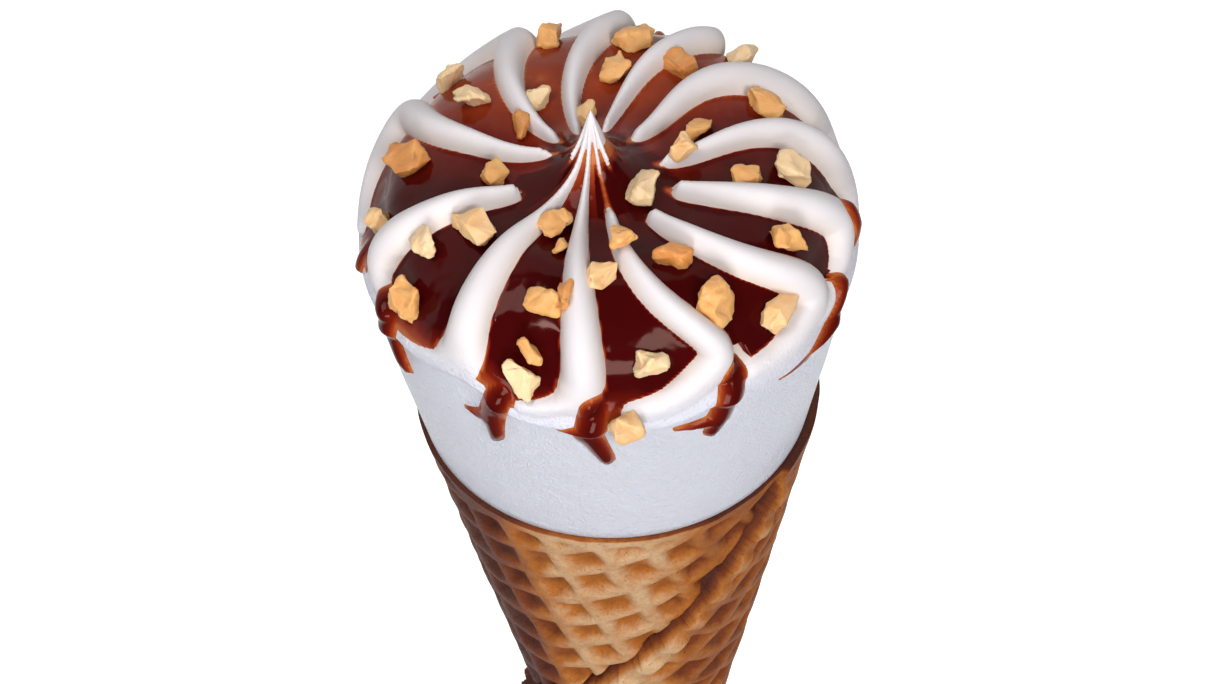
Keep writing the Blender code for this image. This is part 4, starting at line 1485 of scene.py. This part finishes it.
@dataclass
class Studio:
    """The camera at the photographed angle, the pale floor and the soft light."""

    lying: Matrix
    elevation: float = math.radians(49.5)
    distance: float = 480.0
    focal_pixels: float = 3941.8
    roll: float = math.radians(2.774)
    offset: tuple[float, float] = (3.897, -43.03)
    sensor: float = 36.0
    floor_side: float = 6.0
    floor_gap: float = 0.1
    floor_glow: float = 0.97
    world_glow: float = 0.18
    aim_height: float = 20.0
    softboxes: tuple[Softbox, ...] = (
        Softbox("key_light", (0.36, -0.2, 0.92), 0.9, 0.32, 3.9),
        Softbox("upper_light", (-0.4, 0.45, 0.8), 0.9, 0.4, 3.4),
        Softbox("low_light", (0.0, -0.75, 0.65), 1.0, 0.4, 6.2),
        Softbox("glint_light", (-0.45, 0.1, 0.88), 0.9, 0.1, 0.8),
    )

    def axes(self) -> tuple[Vector, Vector, Vector]:
        """The camera's right, up and backward directions about the cone's axis.

        Returns:
            Three unit vectors, with the roll in them.
        """
        back = Vector((0.0, -math.cos(self.elevation), math.sin(self.elevation)))
        right = Vector((1.0, 0.0, 0.0))
        up = Vector((0.0, math.sin(self.elevation), math.cos(self.elevation)))
        rolled_right = math.cos(self.roll) * right - math.sin(self.roll) * up
        rolled_up = math.sin(self.roll) * right + math.cos(self.roll) * up
        return rolled_right, rolled_up, back

    def camera(self) -> bpy.types.Object:
        """Make the camera and give it to the scene.

        Returns:
            The camera.
        """
        right, up, back = self.axes()
        scale = self.distance / self.focal_pixels
        level_right = Vector((1.0, 0.0, 0.0))
        level_up = Vector((0.0, math.sin(self.elevation), math.cos(self.elevation)))
        shift = level_right * self.offset[0] + level_up * self.offset[1]
        place = back * self.distance - shift * scale
        data = bpy.data.cameras.new("photo_camera")
        data.sensor_width = self.sensor
        data.lens = self.focal_pixels / IMAGE_WIDTH * self.sensor
        data.clip_start = 0.01
        camera = bpy.data.objects.new("photo_camera", data)
        turned = Matrix((right, up, back)).transposed().to_4x4()
        turned = self.lying.to_3x3().normalized().to_4x4() @ turned
        camera.matrix_world = Matrix.Translation(self.lying @ place) @ turned
        bpy.context.scene.collection.objects.link(camera)
        bpy.context.scene.camera = camera
        return camera

    def floor(self) -> None:
        """Lay the plain pale floor."""
        work = bmesh.new()
        bmesh.ops.create_grid(work, x_segments=2, y_segments=2, size=self.floor_side / 2)
        bmesh.ops.translate(work, vec=(0.0, 0.0, -self.floor_gap * MM), verts=work.verts)
        mesh = bpy.data.meshes.new("studio_floor")
        work.to_mesh(mesh)
        work.free()
        floor = bpy.data.objects.new("studio_floor", mesh)
        bpy.context.scene.collection.objects.link(floor)
        shading = Shading("white paper")
        shading.finish(
            floor,
            base_color=(0.3, 0.3, 0.3),
            roughness=0.9,
            emission_color=(1.0, 1.0, 1.0),
            emission_strength=self.floor_glow,
        )
        floor.visible_diffuse = False

    def light(self, camera: bpy.types.Object) -> None:
        """Place the softboxes about the head and set the dim surroundings.

        Args:
            camera: the camera that the directions are seen by.
        """
        aim = self.lying @ Vector((0.0, 0.0, self.aim_height))
        turn = camera.matrix_world.to_3x3()
        for box in self.softboxes:
            data = bpy.data.lights.new(box.name, "AREA")
            data.size = box.side
            data.energy = box.watts
            lamp = bpy.data.objects.new(box.name, data)
            direction = (turn @ Vector(box.direction)).normalized()
            lamp.location = aim + direction * box.distance
            lamp.rotation_euler = direction.to_track_quat("Z", "Y").to_euler()
            bpy.context.scene.collection.objects.link(lamp)
        world = bpy.data.worlds.new("studio")
        world.use_nodes = True
        background = world.node_tree.nodes["Background"]
        background.inputs["Color"].default_value = (1.0, 1.0, 1.0, 1.0)
        background.inputs["Strength"].default_value = self.world_glow
        bpy.context.scene.world = world
        bpy.context.scene.view_settings.view_transform = "Standard"

    def build(self) -> None:
        """Set up the whole studio."""
        camera = self.camera()
        self.floor()
        self.light(camera)


def declare(piece: bpy.types.Object, node: str) -> None:
    """Say what a piece rides on and which solid it stands for.

    Args:
        piece: the finished piece.
        node: the solid that it replaces.
    """
    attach(piece, BODY)
    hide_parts(node)
    log.info("%s: %d faces, in place of %s", piece.name, len(piece.data.polygons), node)


def write_sizes() -> None:
    """Update the view layer."""
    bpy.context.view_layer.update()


def main() -> None:
    """Build the cone's pieces in order, lay them down and set up the studio."""
    head = PipedHead()
    ice_cream = head.build()
    sauce = SauceCoat(head).build()
    nuts = ChoppedNuts(head).build()
    wafer = RolledWafer().build()
    pieces = [ice_cream, sauce, nuts, wafer]
    pose = LyingPose()
    lying = pose.matrix(pieces)
    for piece in pieces:
        pose.lay(piece, lying)
    declare(ice_cream, "ice_cream")
    declare(sauce, "ice_cream")
    declare(nuts, "ice_cream")
    declare(wafer, "wafer")
    Studio(lying).build()
    write_sizes()


if __name__ == "__main__":
    main()
